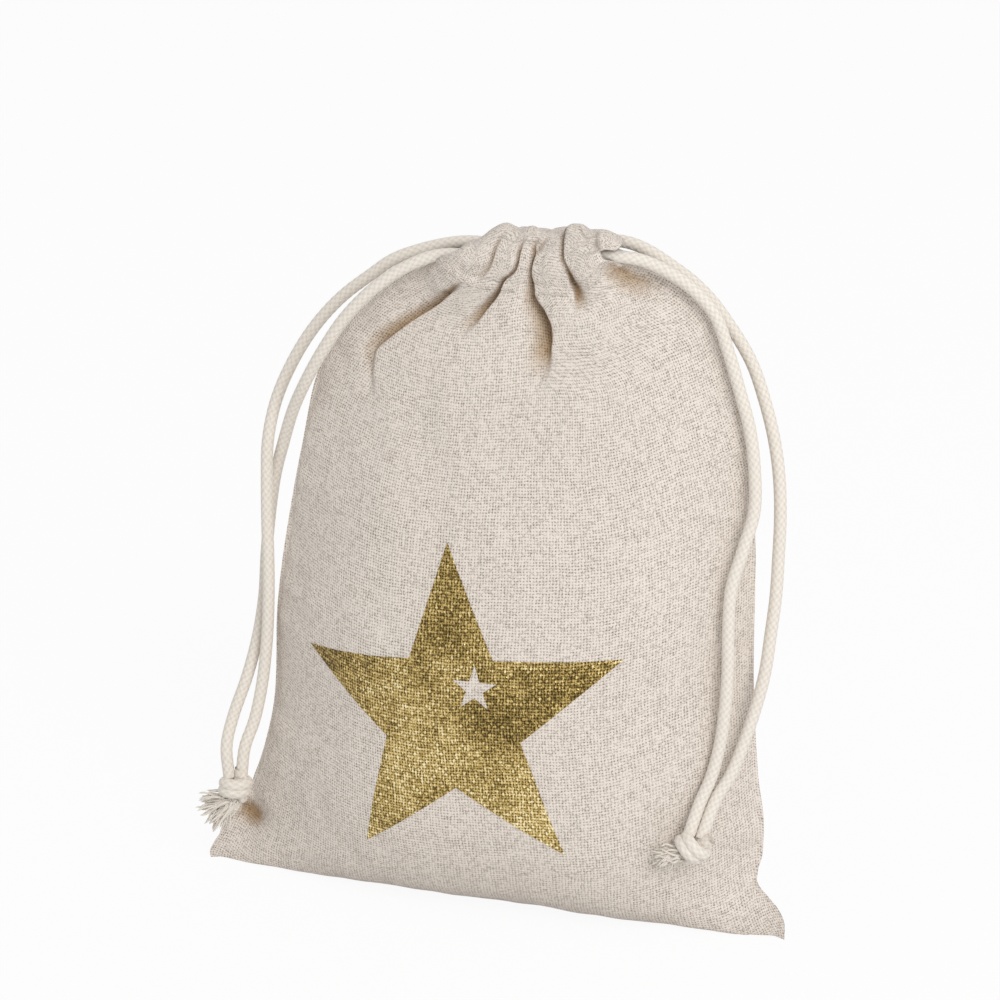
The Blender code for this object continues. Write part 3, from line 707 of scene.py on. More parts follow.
# %% The creases
# Side that the fold lies on, then level, place across from -1 to 1, depth and width of the hollow in mm
FRONT_CREASES = [
    (1, [(0.77, -0.72, 0.0, 3.2), (0.79, -0.755, 0.7, 3.0), (0.808, -0.80, 1.2, 2.8),
         (0.831, -0.831, 1.7, 2.3), (0.849, -0.82, 2.1, 2.1), (0.875, -0.795, 2.6, 1.9),
         (0.891, -0.777, 2.9, 1.8), (0.915, -0.748, 3.2, 1.7), (0.944, -0.722, 3.2, 1.6),
         (0.961, -0.722, 2.2, 1.1), (0.978, -0.716, 0.9, 0.9), (0.99, -0.70, 0.0, 0.9)]),
    (1, [(0.99, -0.60, 0.0, 1.0), (1.002, -0.57, 0.8, 1.0), (1.025, -0.50, 1.3, 0.9),
         (1.042, -0.47, 1.4, 0.8), (1.06, -0.448, 1.0, 0.8), (1.075, -0.44, 0.3, 0.8)]),
    (1, [(0.90, -0.46, 0.0, 3.0), (0.915, -0.435, 0.5, 2.6), (0.929, -0.402, 1.2, 2.3),
         (0.948, -0.36, 2.2, 2.1), (0.962, -0.328, 3.1, 2.0), (0.974, -0.297, 3.4, 1.8),
         (0.986, -0.28, 3.2, 1.4), (0.995, -0.283, 2.6, 1.1), (1.003, -0.264, 2.0, 0.9),
         (1.012, -0.202, 1.8, 0.9), (1.026, -0.138, 1.8, 0.8), (1.046, -0.112, 1.7, 0.8),
         (1.058, -0.127, 1.3, 0.8), (1.064, -0.158, 0.9, 0.8), (1.075, -0.20, 0.0, 0.8)]),
    (1, [(0.845, 0.09, 0.0, 5.0), (0.883, 0.15, 1.1, 4.6), (0.909, 0.187, 2.6, 4.4),
         (0.926, 0.21, 4.2, 4.3), (0.94, 0.217, 5.0, 4.3), (0.952, 0.203, 5.2, 4.2),
         (0.966, 0.163, 5.0, 3.6), (0.976, 0.114, 4.4, 2.8), (0.984, 0.09, 4.0, 2.2),
         (0.994, 0.086, 3.6, 1.8), (1.008, 0.081, 3.0, 1.3), (1.024, 0.079, 2.6, 1.0),
         (1.037, 0.093, 2.4, 0.9), (1.048, 0.096, 2.0, 0.9), (1.055, 0.07, 1.8, 0.8),
         (1.062, 0.022, 1.4, 0.8), (1.07, -0.021, 0.8, 0.8), (1.078, -0.05, 0.0, 0.8)]),
    (1, [(1.042, 0.103, 0.0, 0.8), (1.049, 0.122, 0.8, 0.8), (1.057, 0.137, 1.2, 0.8),
         (1.065, 0.085, 1.2, 0.8), (1.072, 0.056, 0.8, 0.8), (1.078, 0.03, 0.0, 0.8)]),
    (-1, [(0.955, 0.50, 0.0, 3.0), (0.966, 0.52, 0.8, 2.4), (0.981, 0.538, 2.2, 2.1),
          (0.992, 0.545, 3.2, 1.8), (1.002, 0.535, 3.4, 1.5), (1.017, 0.545, 2.6, 1.1),
          (1.029, 0.54, 1.2, 0.9), (1.04, 0.53, 0.0, 0.8)]),
    (1, [(1.02, 0.545, 0.0, 0.8), (1.03, 0.542, 1.0, 0.8), (1.042, 0.52, 1.8, 0.9),
         (1.056, 0.465, 2.0, 0.9), (1.066, 0.343, 2.0, 0.9), (1.077, 0.224, 1.6, 0.9),
         (1.08, 0.20, 1.2, 0.9)]),
    (1, [(1.067, 0.64, 0.0, 0.8), (1.07, 0.60, 0.8, 0.8), (1.072, 0.513, 1.0, 0.8),
         (1.076, 0.426, 0.8, 0.8), (1.08, 0.38, 0.4, 0.8)]),
    (1, [(1.045, 0.92, 0.0, 0.8), (1.053, 0.90, 0.9, 0.8), (1.069, 0.709, 1.0, 0.8),
         (1.08, 0.566, 0.6, 0.8)]),
    (1, [(0.90, 0.935, 0.0, 3.0), (0.928, 0.93, 0.9, 2.8), (0.944, 0.93, 1.6, 2.6), (0.968, 0.93, 2.0, 2.3),
         (0.985, 0.935, 1.8, 1.8), (0.998, 0.955, 0.8, 1.4), (1.01, 0.97, 0.0, 1.0)]),
]
BACK_CREASES = [
    (-1, [(0.78, -0.82, 0.0, 5.5), (0.87, -0.76, 1.6, 4.5), (0.95, -0.70, 2.9, 2.8), (1.0, -0.62, 2.8, 1.5),
          (1.08, -0.55, 1.0, 1.0)]),
    (1, [(0.83, -0.34, 0.0, 4.5), (0.91, -0.38, 2.0, 3.4), (0.97, -0.33, 3.6, 2.6), (1.0, -0.28, 3.0, 1.5),
         (1.08, -0.25, 1.1, 1.0)]),
    (1, [(0.76, 0.06, 0.0, 6.0), (0.86, 0.02, 1.8, 4.5), (0.95, 0.05, 3.8, 3.2), (1.0, 0.07, 3.0, 1.5),
         (1.08, 0.06, 1.2, 1.0)]),
    (-1, [(0.85, 0.44, 0.0, 4.0), (0.92, 0.38, 1.8, 3.0), (0.98, 0.36, 3.2, 2.2), (1.0, 0.35, 2.8, 1.5),
          (1.08, 0.33, 1.0, 1.0)]),
    (-1, [(0.79, 0.80, 0.0, 5.5), (0.87, 0.74, 1.6, 4.2), (0.95, 0.68, 2.8, 2.8), (1.0, 0.62, 2.6, 1.5),
          (1.08, 0.58, 0.9, 1.0)]),
]
FOLD_EDGE = 0.0005  # how sharp a fold's edge is
FOLD_SOFTER = 0.12  # and how much softer it is at a wide hollow, as a share of the width
FOLD_OVER = 0.0011  # how far it hangs over its hollow
OPEN_SHARE = 0.75  # of a hollow's depth that falls away on its open side
FLUTE = 0.0021  # half the width of the rounding between two flutes
SHADE = 0.8  # how dark the painted shade over a hollow is, as a share of its darkest line


def crease_shape(creases, level, across, half_width):
    """How deep the hollows are, how far their cloth moves across, and how deep in shade it lies."""
    hollow, shift, shade = (np.zeros_like(across) for _ in range(3))
    for hand, stations in creases:
        line, depth, width = (along(stations, level, column) for column in (1, 2, 3))
        outside = (level < stations[0][0]) | (level > stations[-1][0] + 0.01)
        depth = np.where(outside, 0, np.maximum(depth, 0)) / 1000
        reach = hand * (across - line) * half_width
        edge = FOLD_EDGE + FOLD_SOFTER * width / 1000
        fold_side = bell(np.maximum(reach, 0) / edge)
        open_side = bell(np.minimum(reach, 0) / (width / 1000))
        hollow += depth * (OPEN_SHARE * open_side * fold_side + (1 - OPEN_SHARE) * bell(reach / FLUTE))
        # Painted shade: a flat band over the hollow and a darker narrow line along its fold.
        wide = np.exp(-((np.minimum(reach, 0) / (0.95 * width / 1000)) ** 4)) * fold_side
        narrow = bell(reach / (0.35 * width / 1000))
        shade += ease(depth, 0.0003, 0.0026) * (SHADE * wide + (1 - SHADE) * narrow)
        over = bell((reach / edge - 1.9) / 1.1)
        shift -= hand * FOLD_OVER * over * ease(depth, 0.0004, 0.003)
    return hollow, shift, np.minimum(shade, 1)


# %% [markdown]
# ## Dents and ripples
# What is inside shows through here and there as a soft dent. Along the seams the stitches draw the cloth a
# little short, so it ripples. Sums of slow waves give both, the same on each run.

# %% Dents and ripples
# X, height, reach across, reach up, in mm, turned by degrees, and depth in mm
FRONT_DENTS = [
    (-15, 116, 7, 26, 8, 0.9), (-66.2, 13.4, 5.4, 4.4, -20, 4.0), (26, 118, 10, 24, -14, 0.6),
    (48, 92, 7, 30, 4, 0.5), (-40, 62, 9, 24, -4, 0.5), (62, 16, 5, 6, -30, 1.2),
]
BACK_DENTS = [(-20, 108, 9, 30, -8, 1.0), (22, 96, 10, 26, 10, 0.8), (0, 50, 24, 12, 5, 0.6)]
SLOW_WAVE, FINE_WAVE, SEAM_RIPPLE = 0.00035, 0.00010, 0.00040


def waves(x, z, size, seed):
    """A slow, smooth unevenness from -1 to 1."""
    turn = np.random.default_rng(seed).uniform(0, 2 * np.pi, (2, 7))
    total = np.zeros_like(x)
    for angle, phase in turn.T:
        pitch = size * (0.75 + 0.5 * math.fmod(phase, 1.0))
        total += np.sin((x * np.cos(angle) + z * np.sin(angle)) * 2 * np.pi / pitch + phase)
    return total / 3.5


def unevenness(dents, points, level, across, half_width, seed):
    """How far the cloth stands in from its smooth form."""
    x, z = points[..., 0] * 1000, points[..., 2] * 1000
    total = np.zeros_like(x)
    for dent_x, dent_z, reach_x, reach_z, turn, depth in dents:
        a = math.radians(turn)
        u = (x - dent_x) * math.cos(a) + (z - dent_z) * math.sin(a)
        v = (z - dent_z) * math.cos(a) - (x - dent_x) * math.sin(a)
        total += depth / 1000 * np.exp(-((u / reach_x) ** 2) - (v / reach_z) ** 2)
    edge = (1 - np.abs(across)) * half_width
    total += SLOW_WAVE * waves(x, z, 34, seed) + FINE_WAVE * waves(x, z, 11, seed + 1)
    total += SEAM_RIPPLE * waves(x * 0.2, z, 8, seed + 2) * np.exp(-edge / 0.006) * ease(edge, 0, 0.002)
    total *= ease(level, 0.035, 0.075)
    return total * ease(1.02 - level, 0, 0.1)


# %% [markdown]
# ## Threads on the cloth
# The weave is a texture measured in metres along the cloth. Within one fold the threads run along the fold,
# and what is missing between two folds is the cloth that the crease has swallowed. So each crease adds a
# jump, and together the jumps make up for how much narrower the row has become.

# %% Thread coordinates
LOOSE = 0.6  # how much of the narrowing the open cloth takes, as a crease's share


def thread_places(points, level, across, creases):
    """Metres along the cloth, sideways from the middle and up from the bottom seam."""
    step = np.linalg.norm(np.diff(points, axis=1), axis=2)
    sideways = np.concatenate([np.zeros((len(points), 1)), np.cumsum(step, 1)], 1)
    middle = points.shape[1] // 2
    sideways -= sideways[:, middle:middle + 1]
    full = sideways[int(0.4 * len(points))]
    jumps = []
    for _, stations in creases:
        line, depth = (along(stations, level, column) for column in (1, 2))
        inside = (level > stations[0][0]) & (level < stations[-1][0] + 0.2)
        jumps.append((line, np.where(inside, ease(depth, 0, 3.2), 0)))
    for end, hand in ((0, -1), (-1, 1)):
        lost = np.clip(np.abs(full[end]) - np.abs(sideways[:, end]), 0, None)[:, None]
        lost = lost * ease(level, 0.5, 0.8)
        own = [(line, weight * (np.sign(line) == hand)) for line, weight in jumps]
        total = LOOSE + sum(weight[:, middle] for _, weight in own)[:, None]
        half = across * hand >= 0
        moved = lost * LOOSE / total * np.abs(across)
        for line, weight in own:
            moved = moved + lost * weight / total * (np.abs(across) > np.abs(line))
        sideways = np.where(half & (across != 0), sideways + hand * moved, sideways)
    rise = np.linalg.norm(np.diff(points, axis=0), axis=2)
    upward = np.concatenate([np.zeros((1, points.shape[1])), np.cumsum(rise, 0)], 0)
    return np.stack([sideways, upward], -1)


# %% [markdown]
# ## The two panels of cloth
# Each panel is one sheet: the flat that it stands on, the body, the casing's outer wall, the rim, and the
# hem turned down inside. The two sheets meet at the side seams. The gathers are pressed in along the
# surface's own direction, and each point keeps how deep in shade it lies, which the finish paints as shade.

# %% The cloth sheets
FLAT_ROWS, BODY_ROWS, HEM_ROWS, COLUMNS = 12, 320, 80, 401
CROWDING = 1.12  # above 1, the columns stand closer together towards the seams
RIM = 0.533  # share of the way round the hem at which the cloth turns down inside
HEM_LEVEL = 0.15  # how much of level the whole way round the hem takes
INSIDE_RELIEF = 0.65  # depth of the gathers inside the casing, as a share of that outside
SEAM_GAP = 0.00006  # from the seam's plane to each sheet's edge
SEAM_DIP = (0.0006, 0.0009)  # depth and reach of the furrow beside a seam
GATHER_LIFT = [(0.0, 0.0), (0.70, 0.0), (0.86, 0.0020), (0.94, 0.0020), (1.0, 0.0006), (1.2, 0.0)]


def surface_normal(points, side):
    """Outward directions of a grid of points."""
    normal = np.cross(np.gradient(points, axis=1), np.gradient(points, axis=0))
    normal /= np.linalg.norm(normal, axis=2)[..., None] + 1e-12
    return normal * -side


def crowded(count, power):
    """Numbers from -1 to 1 that stand closer together towards both ends."""
    even = np.linspace(-1, 1, count)
    return np.sign(even) * (1 - (1 - np.abs(even)) ** power)


def smooth_sheet(side):
    """A panel with its hem but no gathers: points, across, level, half width, and 1 inside the casing."""
    flat_up = np.linspace(0, BASE_EDGE, FLAT_ROWS, endpoint=False)
    up = np.concatenate([flat_up, np.linspace(BASE_EDGE, 1, BODY_ROWS)])
    columns = crowded(COLUMNS, CROWDING)
    body_across, body_up = np.meshgrid(columns, up)
    hem_across, hem_way = np.meshgrid(columns, np.linspace(0, 1, HEM_ROWS)[1:])
    body, half_width = body_points(side, body_across, body_up)
    points = np.vstack([body, casing_points(side, hem_across, hem_way)])
    across = np.vstack([body_across, hem_across])
    level = np.vstack([body_up, 1 + HEM_LEVEL * np.minimum(hem_way, RIM)])
    half_width = np.vstack([half_width, np.full_like(hem_across, MOUTH_WIDTH / 2)])
    inner = ease(np.vstack([np.zeros_like(body_up), hem_way]), 0.5, 0.62)
    points += slit_pull(FRONT_SLITS if side < 0 else {}, level, across, half_width)
    return points, across, level, half_width, inner


def cloth_sheet(side, creases, dents, seed):
    """Points, thread places and shade of one panel with its gathers."""
    smooth, across, level, half_width, inner = smooth_sheet(side)
    lift = ease(level, 0.97, 1.0)[..., None]
    flat_out = np.stack(np.broadcast_arrays(0.0, float(side), 0.0), -1)
    push = surface_normal(smooth, side) * (1 - lift) + flat_out * lift
    hollow, shift, shade = crease_shape(creases, level, across, half_width)
    hollow = hollow * (1 - (1 - INSIDE_RELIEF) * inner)
    from_edge = (1 - np.abs(across)) * half_width
    seam_dip = SEAM_DIP[0] * bell(from_edge / SEAM_DIP[1]) * (1 - ease(level, 0.95, 1.0))
    uneven = unevenness(dents, smooth, level, across, half_width, seed)
    gather = along(GATHER_LIFT, level) * (1 - np.abs(across) ** 6)
    stand = gather - hollow - seam_dip - uneven
    points = smooth + push * (stand * ease(from_edge, -0.0003, 0.0012))[..., None]
    points[..., 0] += shift * (1 - inner)
    points[..., 1] += side * SEAM_GAP
    points[..., 2] = np.maximum(points[..., 2], 0)
    flat = level <= BASE_EDGE
    points[flat] = smooth[flat] + np.array([0, side * SEAM_GAP, 0])
    # Painted shade also fills the deep dents.
    shade = np.maximum(shade, ease(uneven, 0.0012, 0.0040)) * (1 - inner)
    return points, thread_places(points, level, across, creases), shade


def keep_value(made, name, values):
    """Stores a number for each point of a mesh, as an attribute that its finish reads."""
    made.data.attributes.new(name, "FLOAT", "POINT").data.foreach_set("value", values.ravel())


sheets, shades = {}, {}
panels = {"front": (-1, FRONT_CREASES, FRONT_DENTS), "back": (1, BACK_CREASES, BACK_DENTS)}
for side_name, (side, creases, dents) in panels.items():
    points, places, shade = cloth_sheet(side, creases, dents, 20 + side)
    sheets[side_name], shades[side_name] = points, shade
    made = grid_object(side_name + "_cloth", [(points, places)], flip=side > 0)
    # The painted shade of each point, for the finish.
    keep_value(made, "hollow", shade)
    print(made.name, len(made.data.vertices), "points")

# %% [markdown]
# ## Woven cotton
# About 13 threads to the centimetre, spun unevenly. The texture works out which thread lies on top at each
# place. Light comes through the small holes between four threads, so they look darker and warmer. Noise that
# is stretched along each thread makes thick and thin places, and a few threads are a little darker.

# %% Cloth finish
THREAD_PITCH = (0.00078, 0.00074)
THREAD_TURN = math.radians(4.0)


def limited(value):
    """A number kept between 0 and 1."""
    return value.math("MINIMUM", value.math("MAXIMUM", value, 0.0), 1.0)


def threads_at(wires):
    """Threads counted across and along a mesh, turned as the cloth was cut, with a loom's slight drift."""
    place = wires.node("UVMap", {"uv_map": "threads"}, {})
    turned = {"Vector": place, "Center": (0, 0, 0), "Angle": -THREAD_TURN}
    place = wires.node("VectorRotate", {"rotation_type": "Z_AXIS"}, turned)
    flat_noise = {"Vector": place, "Scale": 130.0, "Detail": 2.0}
    drift = wires.node("TexNoise", {"noise_dimensions": "2D"}, flat_noise, 1)
    drift = wires.node("VectorMath", {"operation": "SUBTRACT"}, {0: drift, 1: (0.5, 0.5, 0.5)})
    drift = wires.node("VectorMath", {"operation": "SCALE"}, {0: drift, "Scale": 0.0006})
    moved = wires.node("VectorMath", {"operation": "ADD"}, {0: place, 1: drift})
    per_metre = (1 / THREAD_PITCH[0], 1 / THREAD_PITCH[1], 1.0)
    counted = wires.node("VectorMath", {"operation": "MULTIPLY"}, {0: moved, 1: per_metre})
    return (wires.node("SeparateXYZ", {}, {0: counted}, axis) for axis in (0, 1))


def woven(wires, x, y):
    """The threads' height, the holes between them, and a random number for each hole and each top."""
    warp, weft = wires.math("FLOOR", x), wires.math("FLOOR", y)
    warp_even = wires.noise(wires.joined(warp * 7.3, y * 0.11), 1.0, 2.0)
    weft_even = wires.noise(wires.joined(x * 0.11, weft * 7.3, 5.0), 1.0, 2.0)
    warp_round = wires.math("COSINE", (x - warp - 0.5) * (1.5 - warp_even) * math.pi)
    weft_round = wires.math("COSINE", (y - weft - 0.5) * (1.5 - weft_even) * math.pi)
    warp_round = wires.math("MAXIMUM", warp_round, 0.0)
    weft_round = wires.math("MAXIMUM", weft_round, 0.0)
    over = warp_round * (1 + 0.35 * wires.math("COSINE", (y - 0.5 + warp) * math.pi))
    under = weft_round * (1 - 0.35 * wires.math("COSINE", (x - 0.5 + weft) * math.pi))
    height = wires.math("MAXIMUM", over, under) / 1.35
    hole = limited((1 - warp_round) * (1 - weft_round) * 2.2 - 0.55)
    hole_cell = wires.joined(wires.math("ROUND", x), wires.math("ROUND", y))
    top_cell = wires.joined(warp + 0.31, weft + 0.17)
    flat = {"noise_dimensions": "2D"}
    chances = [wires.node("TexWhiteNoise", flat, {0: cell}) for cell in (hole_cell, top_cell)]
    return height, hole, *chances


def woven_cotton(name, top, hollow, fold_shade):
    """Unbleached plain-woven cotton: the threads' colour, the holes' colour and the tint of the painted
    shade in deep folds.
    """
    made, shader, wires = new_finish(name)
    height, hole, hole_chance, top_chance = woven(wires, *threads_at(wires))
    solid = solid_place(wires)
    fluff = wires.noise(solid, 2600.0, 3.0)
    cloudy = wires.noise(solid, 60.0, 3.0)
    openness = limited(cloudy * 1.2 + hole_chance * 1.2 - 0.75)
    # Painted highlight: the threads' tops are painted lighter; the fluff and the chance of each top are
    # their own uneven tone.
    light = height * 0.75 + top_chance * 0.4 + fluff * 2.1 - hole * openness * 0.55 - 0.9
    base = mixed(limited(light), hollow, top)
    # Painted shade: the hollows of creases and dents are multiplied by a brown tint.
    shade = wires.node("Attribute", {"attribute_name": "hollow"}, {}, 2)
    base = mixed(shade, base, fold_shade, "MULTIPLY")
    rough_height = height + fluff * 0.6 - hole * 0.5
    bump = wires.bumped(0.7, 0.00014, rough_height)
    wires.plug(shader, {"Base Color": base, "Normal": bump, "Roughness": 0.9})
    wires.plug(shader, {"Sheen Weight": 0.12, "Sheen Roughness": 0.5, "Specular IOR Level": 0.25})
    return made


# The last colour is the tint of the painted shade in the hollows.
cloth_finish = woven_cotton(
    "plain-woven cotton", (0.785, 0.71, 0.64, 1), (0.26, 0.215, 0.17, 1), (0.55, 0.42, 0.27, 1)
)
for side_name in sheets:
    made = bpy.data.objects[side_name + "_cloth"]
    finished(made, cloth_finish, "root", "cloth", side_name + "_panel", side_name + "_casing")
print(cloth_finish.name, len(cloth_finish.node_tree.nodes), "nodes")

# %% [markdown]
# ## The star's foil
# The star is cut from foil and pressed on with heat. It is a mesh of its own with crisp edges, laid on the
# cloth by casting each point back onto the front panel. It takes the cloth's thread coordinates with it, so
# the weave shows through the foil.

# %% Star
# X and height of the star's corners in the front's plane, from its top round to the left
STAR = [
    (-0.0083, 0.0973), (-0.0165, 0.0685), (-0.0457, 0.0643), (-0.0220, 0.0480), (-0.0278, 0.0189),
    (-0.0037, 0.0378), (0.0233, 0.0235), (0.0122, 0.0514), (0.0354, 0.0730), (0.0048, 0.0709),
]
SMALL_STAR = (0.0005, 0.0634)  # the middle of the small star that is left open
SMALL_STAR_RADIUS = 0.0059
SMALL_STAR_TURN = math.radians(1.5)
STAR_STEPS = (44, 56)  # along each edge of a star, and from the small star out to the large one
FOIL_STAND = 0.00009  # from the cloth to the foil
# X, height and reach in mm of broad zones of painted reflection, darker below 0 or brighter above
FOIL_REFLECTION_ZONES = [
    (22, 66.6, 13, -0.55), (6.7, 55.3, 8, -0.5), (-9.5, 82, 12, -0.35), (-39.5, 63, 8, -0.45),
    (16, 31.5, 11, 0.6), (-22.5, 28, 10, 0.3), (-15.4, 49, 11, 0.25),
]


def star_outline(middle, radius, turn):
    """The ten corners of a regular star, from its top round to the left."""
    valley = radius * math.sin(math.radians(18)) / math.sin(math.radians(54))
    angle = turn + math.pi / 2 + np.arange(10) * math.pi / 5
    reach = np.where(np.arange(10) % 2 == 0, radius, valley)
    return np.stack([middle[0] + reach * np.cos(angle), middle[1] + reach * np.sin(angle)], -1)


def laid_on(object_name, points, stand):
    """Points of the front's plane, cast onto a cloth, with the thread coordinates found there."""
    cloth = bpy.data.objects[object_name]
    mesh = cloth.data
    tree = BVHTree.FromPolygons([v.co for v in mesh.vertices], [tuple(p.vertices) for p in mesh.polygons])
    layer = mesh.uv_layers["threads"].data
    out, places = [], []
    for x, z in points:
        hit, normal, face, _ = tree.ray_cast(Vector((x, -0.1, z)), Vector((0, 1, 0)))
        loops = mesh.polygons[face].loop_indices
        corners = [mesh.vertices[mesh.loops[i].vertex_index].co for i in loops]
        origin, along_x, along_z = corners[0], corners[1] - corners[0], corners[3] - corners[0]
        spread = along_x.x * along_z.z - along_x.z * along_z.x
        part = hit - origin
        a = (part.x * along_z.z - part.z * along_z.x) / spread
        b = (along_x.x * part.z - along_x.z * part.x) / spread
        first, second, last = (np.array(layer[loops[i]].uv) for i in (0, 1, 3))
        places.append(first + a * (second - first) + b * (last - first))
        out.append(hit + normal * stand)
    return np.array(out), np.array(places)


outer = np.array(STAR)
inner = star_outline(SMALL_STAR, SMALL_STAR_RADIUS, SMALL_STAR_TURN)
share = np.linspace(0, 1, STAR_STEPS[0], endpoint=False)[:, None]
rims = []
for line in (inner, outer):
    rims.append(np.vstack([a + share * (b - a) for a, b in zip(line, np.roll(line, -1, 0))]))
out_way = np.linspace(0, 1, STAR_STEPS[1])[:, None, None]
flat = rims[0] + out_way * (rims[1] - rims[0])
points, places = laid_on("front_cloth", flat.reshape(-1, 2), FOIL_STAND)
points, places = points.reshape(*flat.shape[:2], 3), places.reshape(flat.shape)
star = grid_object("gold_star", [(points, np.hstack([places, places[:, :1]]))], ring=True)
# Painted reflection: where the gold is painted brighter or darker.
thick = np.zeros(points.shape[:2])
for x, z, reach, reflection in FOIL_REFLECTION_ZONES:
    away = np.hypot(points[..., 0] * 1000 - x, points[..., 2] * 1000 - z)
    thick += reflection * bell(away / reach)
keep_value(star, "foil", thick)
print(star.name, len(star.data.vertices), "points")

# %% [markdown]
# ## Gold over threads
# The foil bends over every thread, so each thread is a small mirror that points its own way. Its glints on
# top of the threads, streaks along them and broad brighter and darker zones are also painted into its colour
# as painted reflection, and it is darker in the holes. Roughness varies, because the press did not reach
# everywhere alike.

# %% Foil finish
# Gold from darkest in the holes up to a painted glint at the top.
GOLD_STOPS = [
    (0.0, (0.045, 0.027, 0.006, 1)),
    (0.32, (0.21, 0.145, 0.04, 1)),
    (0.62, (0.56, 0.40, 0.14, 1)),
    (0.85, (0.85, 0.66, 0.30, 1)),
    (1.0, (1.0, 0.94, 0.66, 1)),
]


def pressed_foil(name, stops):
    """Metal foil on a weave in a ramp's colours, with painted highlights on top of the threads and darker in
    the holes.
    """
    made, shader, wires = new_finish(name)
    x, y = threads_at(wires)
    height, hole, hole_chance, top_chance = woven(wires, x, y)
    solid = solid_place(wires)
    grain = wires.noise(solid, 1900.0, 2.0)
    patches = wires.noise(solid, 90.0, 3.0)
    streaks = wires.noise(wires.joined(x * 1.9, y * 0.9), 1.0, 2.0)
    # The broad brighter and darker zones of painted reflection, kept on the star's points.
    thick = wires.node("Attribute", {"attribute_name": "foil"}, {}, 2)
    # Painted highlight and painted reflection: thread tops, a random glint at each crossing and streaks
    # along the threads are painted brighter.
    glint = height * 0.5 + top_chance * 0.35 + streaks * 1.6 + grain * 0.5 + patches * 0.6
    glint = glint - hole * (0.3 + 0.5 * hole_chance)
    tone = wires.node("ValToRGB", {"stops": stops}, {0: limited(glint + thick * 0.28 - 1.32)})
    bump = wires.bumped(1.0, 0.0002, height + grain * 0.8)
    wires.plug(shader, {"Base Color": tone, "Normal": bump, "Metallic": 0.85})
    wires.plug(shader, {"Roughness": 0.3 + 0.2 * patches})
    return made


gold = pressed_foil("pressed gold foil", GOLD_STOPS)
finished(star, gold, "root", "foil", "star_print")
print(gold.name, len(gold.node_tree.nodes), "nodes")

# %% [markdown]
# ## Stitches and inside seams
# A row of stitches closes each casing. Each stitch is a short thread that dips into the cloth at its ends.
# Inside, the panels' raw edges are overlocked together, and a strip with looped threads stands for them.

# %% Sewing thread
STITCH = 0.0024
STITCH_THREAD = 0.00022
STITCH_STAND = 0.00012  # from the cloth to a stitch's ends
STITCH_ARCH = 0.00018  # and how much further to its middle
SWALLOWED = 0.25  # shade of a hollow in which no stitch shows
STITCH_ROW = FLAT_ROWS + BODY_ROWS - 5  # row of the sheets just under the casing
SEAM_ALLOWANCE = 0.005
SEAM_INSET = 0.0022  # from a side seam to its overlocked edge
SEAM_THICKNESS = 0.0016
BOTTOM_INSET = 70  # columns at both ends that the bottom seam's overlocked edge leaves out
BOTTOM_LIFT = np.array([0, 0.0003, 0.0012])  # from the bottom seam to that edge


def sewing_thread(name, color):
    """Plain cotton thread, twisted so finely that only its colour and softness show."""
    made, shader, wires = new_finish(name)
    twist = {"Vector": solid_place(wires), "Scale": 420.0, "Distortion": 2.0}
    loops = wires.node("TexWave", {"bands_direction": "DIAGONAL"}, twist)
    # Painted shade: the grooves of the twist are painted darker.
    twist_shade = tuple(c * 0.72 for c in color[:3]) + (1,)
    bump = wires.bumped(0.4, 0.0002, loops)
    wires.plug(shader, {"Base Color": mixed(loops, twist_shade, color), "Normal": bump, "Roughness": 0.85})
    wires.plug(shader, {"Sheen Weight": 0.1})
    return made


thread_finish = sewing_thread("sewing thread", (0.70, 0.64, 0.57, 1))


def stitch_row(side_name, side):
    """Stitches along the row of a cloth sheet that lies under its casing."""
    line, deep = sheets[side_name][STITCH_ROW], shades[side_name][STITCH_ROW]
    at = lengths(line)
    grids = []
    for start in np.arange(0, at[-1] - STITCH, STITCH):
        ways = start + np.linspace(0.1, 0.9, 7) * STITCH
        if np.interp(ways, at, deep).max() > SWALLOWED:
            continue  # a crease has swallowed this one
        path = np.stack([np.interp(ways, at, axis) for axis in line.T], -1)
        path[:, 1] += side * (STITCH_STAND + STITCH_ARCH * np.sin(np.linspace(0, np.pi, 7)))
        thick = STITCH_THREAD * np.array([0.4, 1, 1, 1, 1, 1, 0.4])
        grids.append(tube_grid(path, thick, 8))
    made = grid_object(side_name + "_stitches", grids, ring=True)
    finished(made, thread_finish, "root", "thread", side_name + "_casing_stitching")


for side_name, side in (("front", -1), ("back", 1)):
    stitch_row(side_name, side)


def seam_strip(name, top_line, bottom_line, node):
    """An overlocked edge between two lines, with a wavy outer edge."""
    share = np.linspace(0, 1, 5)[:, None, None]
    grid = top_line + share * (bottom_line - top_line)
    step = np.arange(len(top_line))
    grid[-1, :, 1] += 0.0003 * np.sin(step * 1.3)
    grid[:, :, 1] += 0.0004 * np.sin(step * 0.4)
    coordinates = np.stack([grid[..., 0], grid[..., 2]], -1)
    made = grid_object(name, [(grid, coordinates)])
    shell = made.modifiers.new("thickness", "SOLIDIFY")
    shell.thickness = SEAM_THICKNESS
    shell.offset = 0
    finished(made, thread_finish, "root", "thread", node)


for side_name, hand, stations in (("left", -1, LEFT_SEAM), ("right", 1, RIGHT_SEAM)):
    x, z = seam_line(stations, hand, np.linspace(0.15, 0.80, 120))
    insets = (SEAM_INSET, SEAM_INSET + SEAM_ALLOWANCE)
    outer, inner = (np.stack([x - hand * inset, lean(z), z], -1) for inset in insets)
    seam_strip(side_name + "_seam_edges", outer, inner, side_name + "_side_seam")
bottom = sheets["front"][0][BOTTOM_INSET:-BOTTOM_INSET:3] + BOTTOM_LIFT
seam_strip("bottom_seam_edges", bottom, bottom + [0, 0, SEAM_ALLOWANCE], "bottom_seam")

for side_name in ("front", "back"):
    made = bpy.data.objects[side_name + "_cloth"]
    other = "back_cloth" if side_name == "front" else "front_cloth"
    pieces = [side_name + "_stitches"] + (["gold_star"] if side_name == "front" else [])

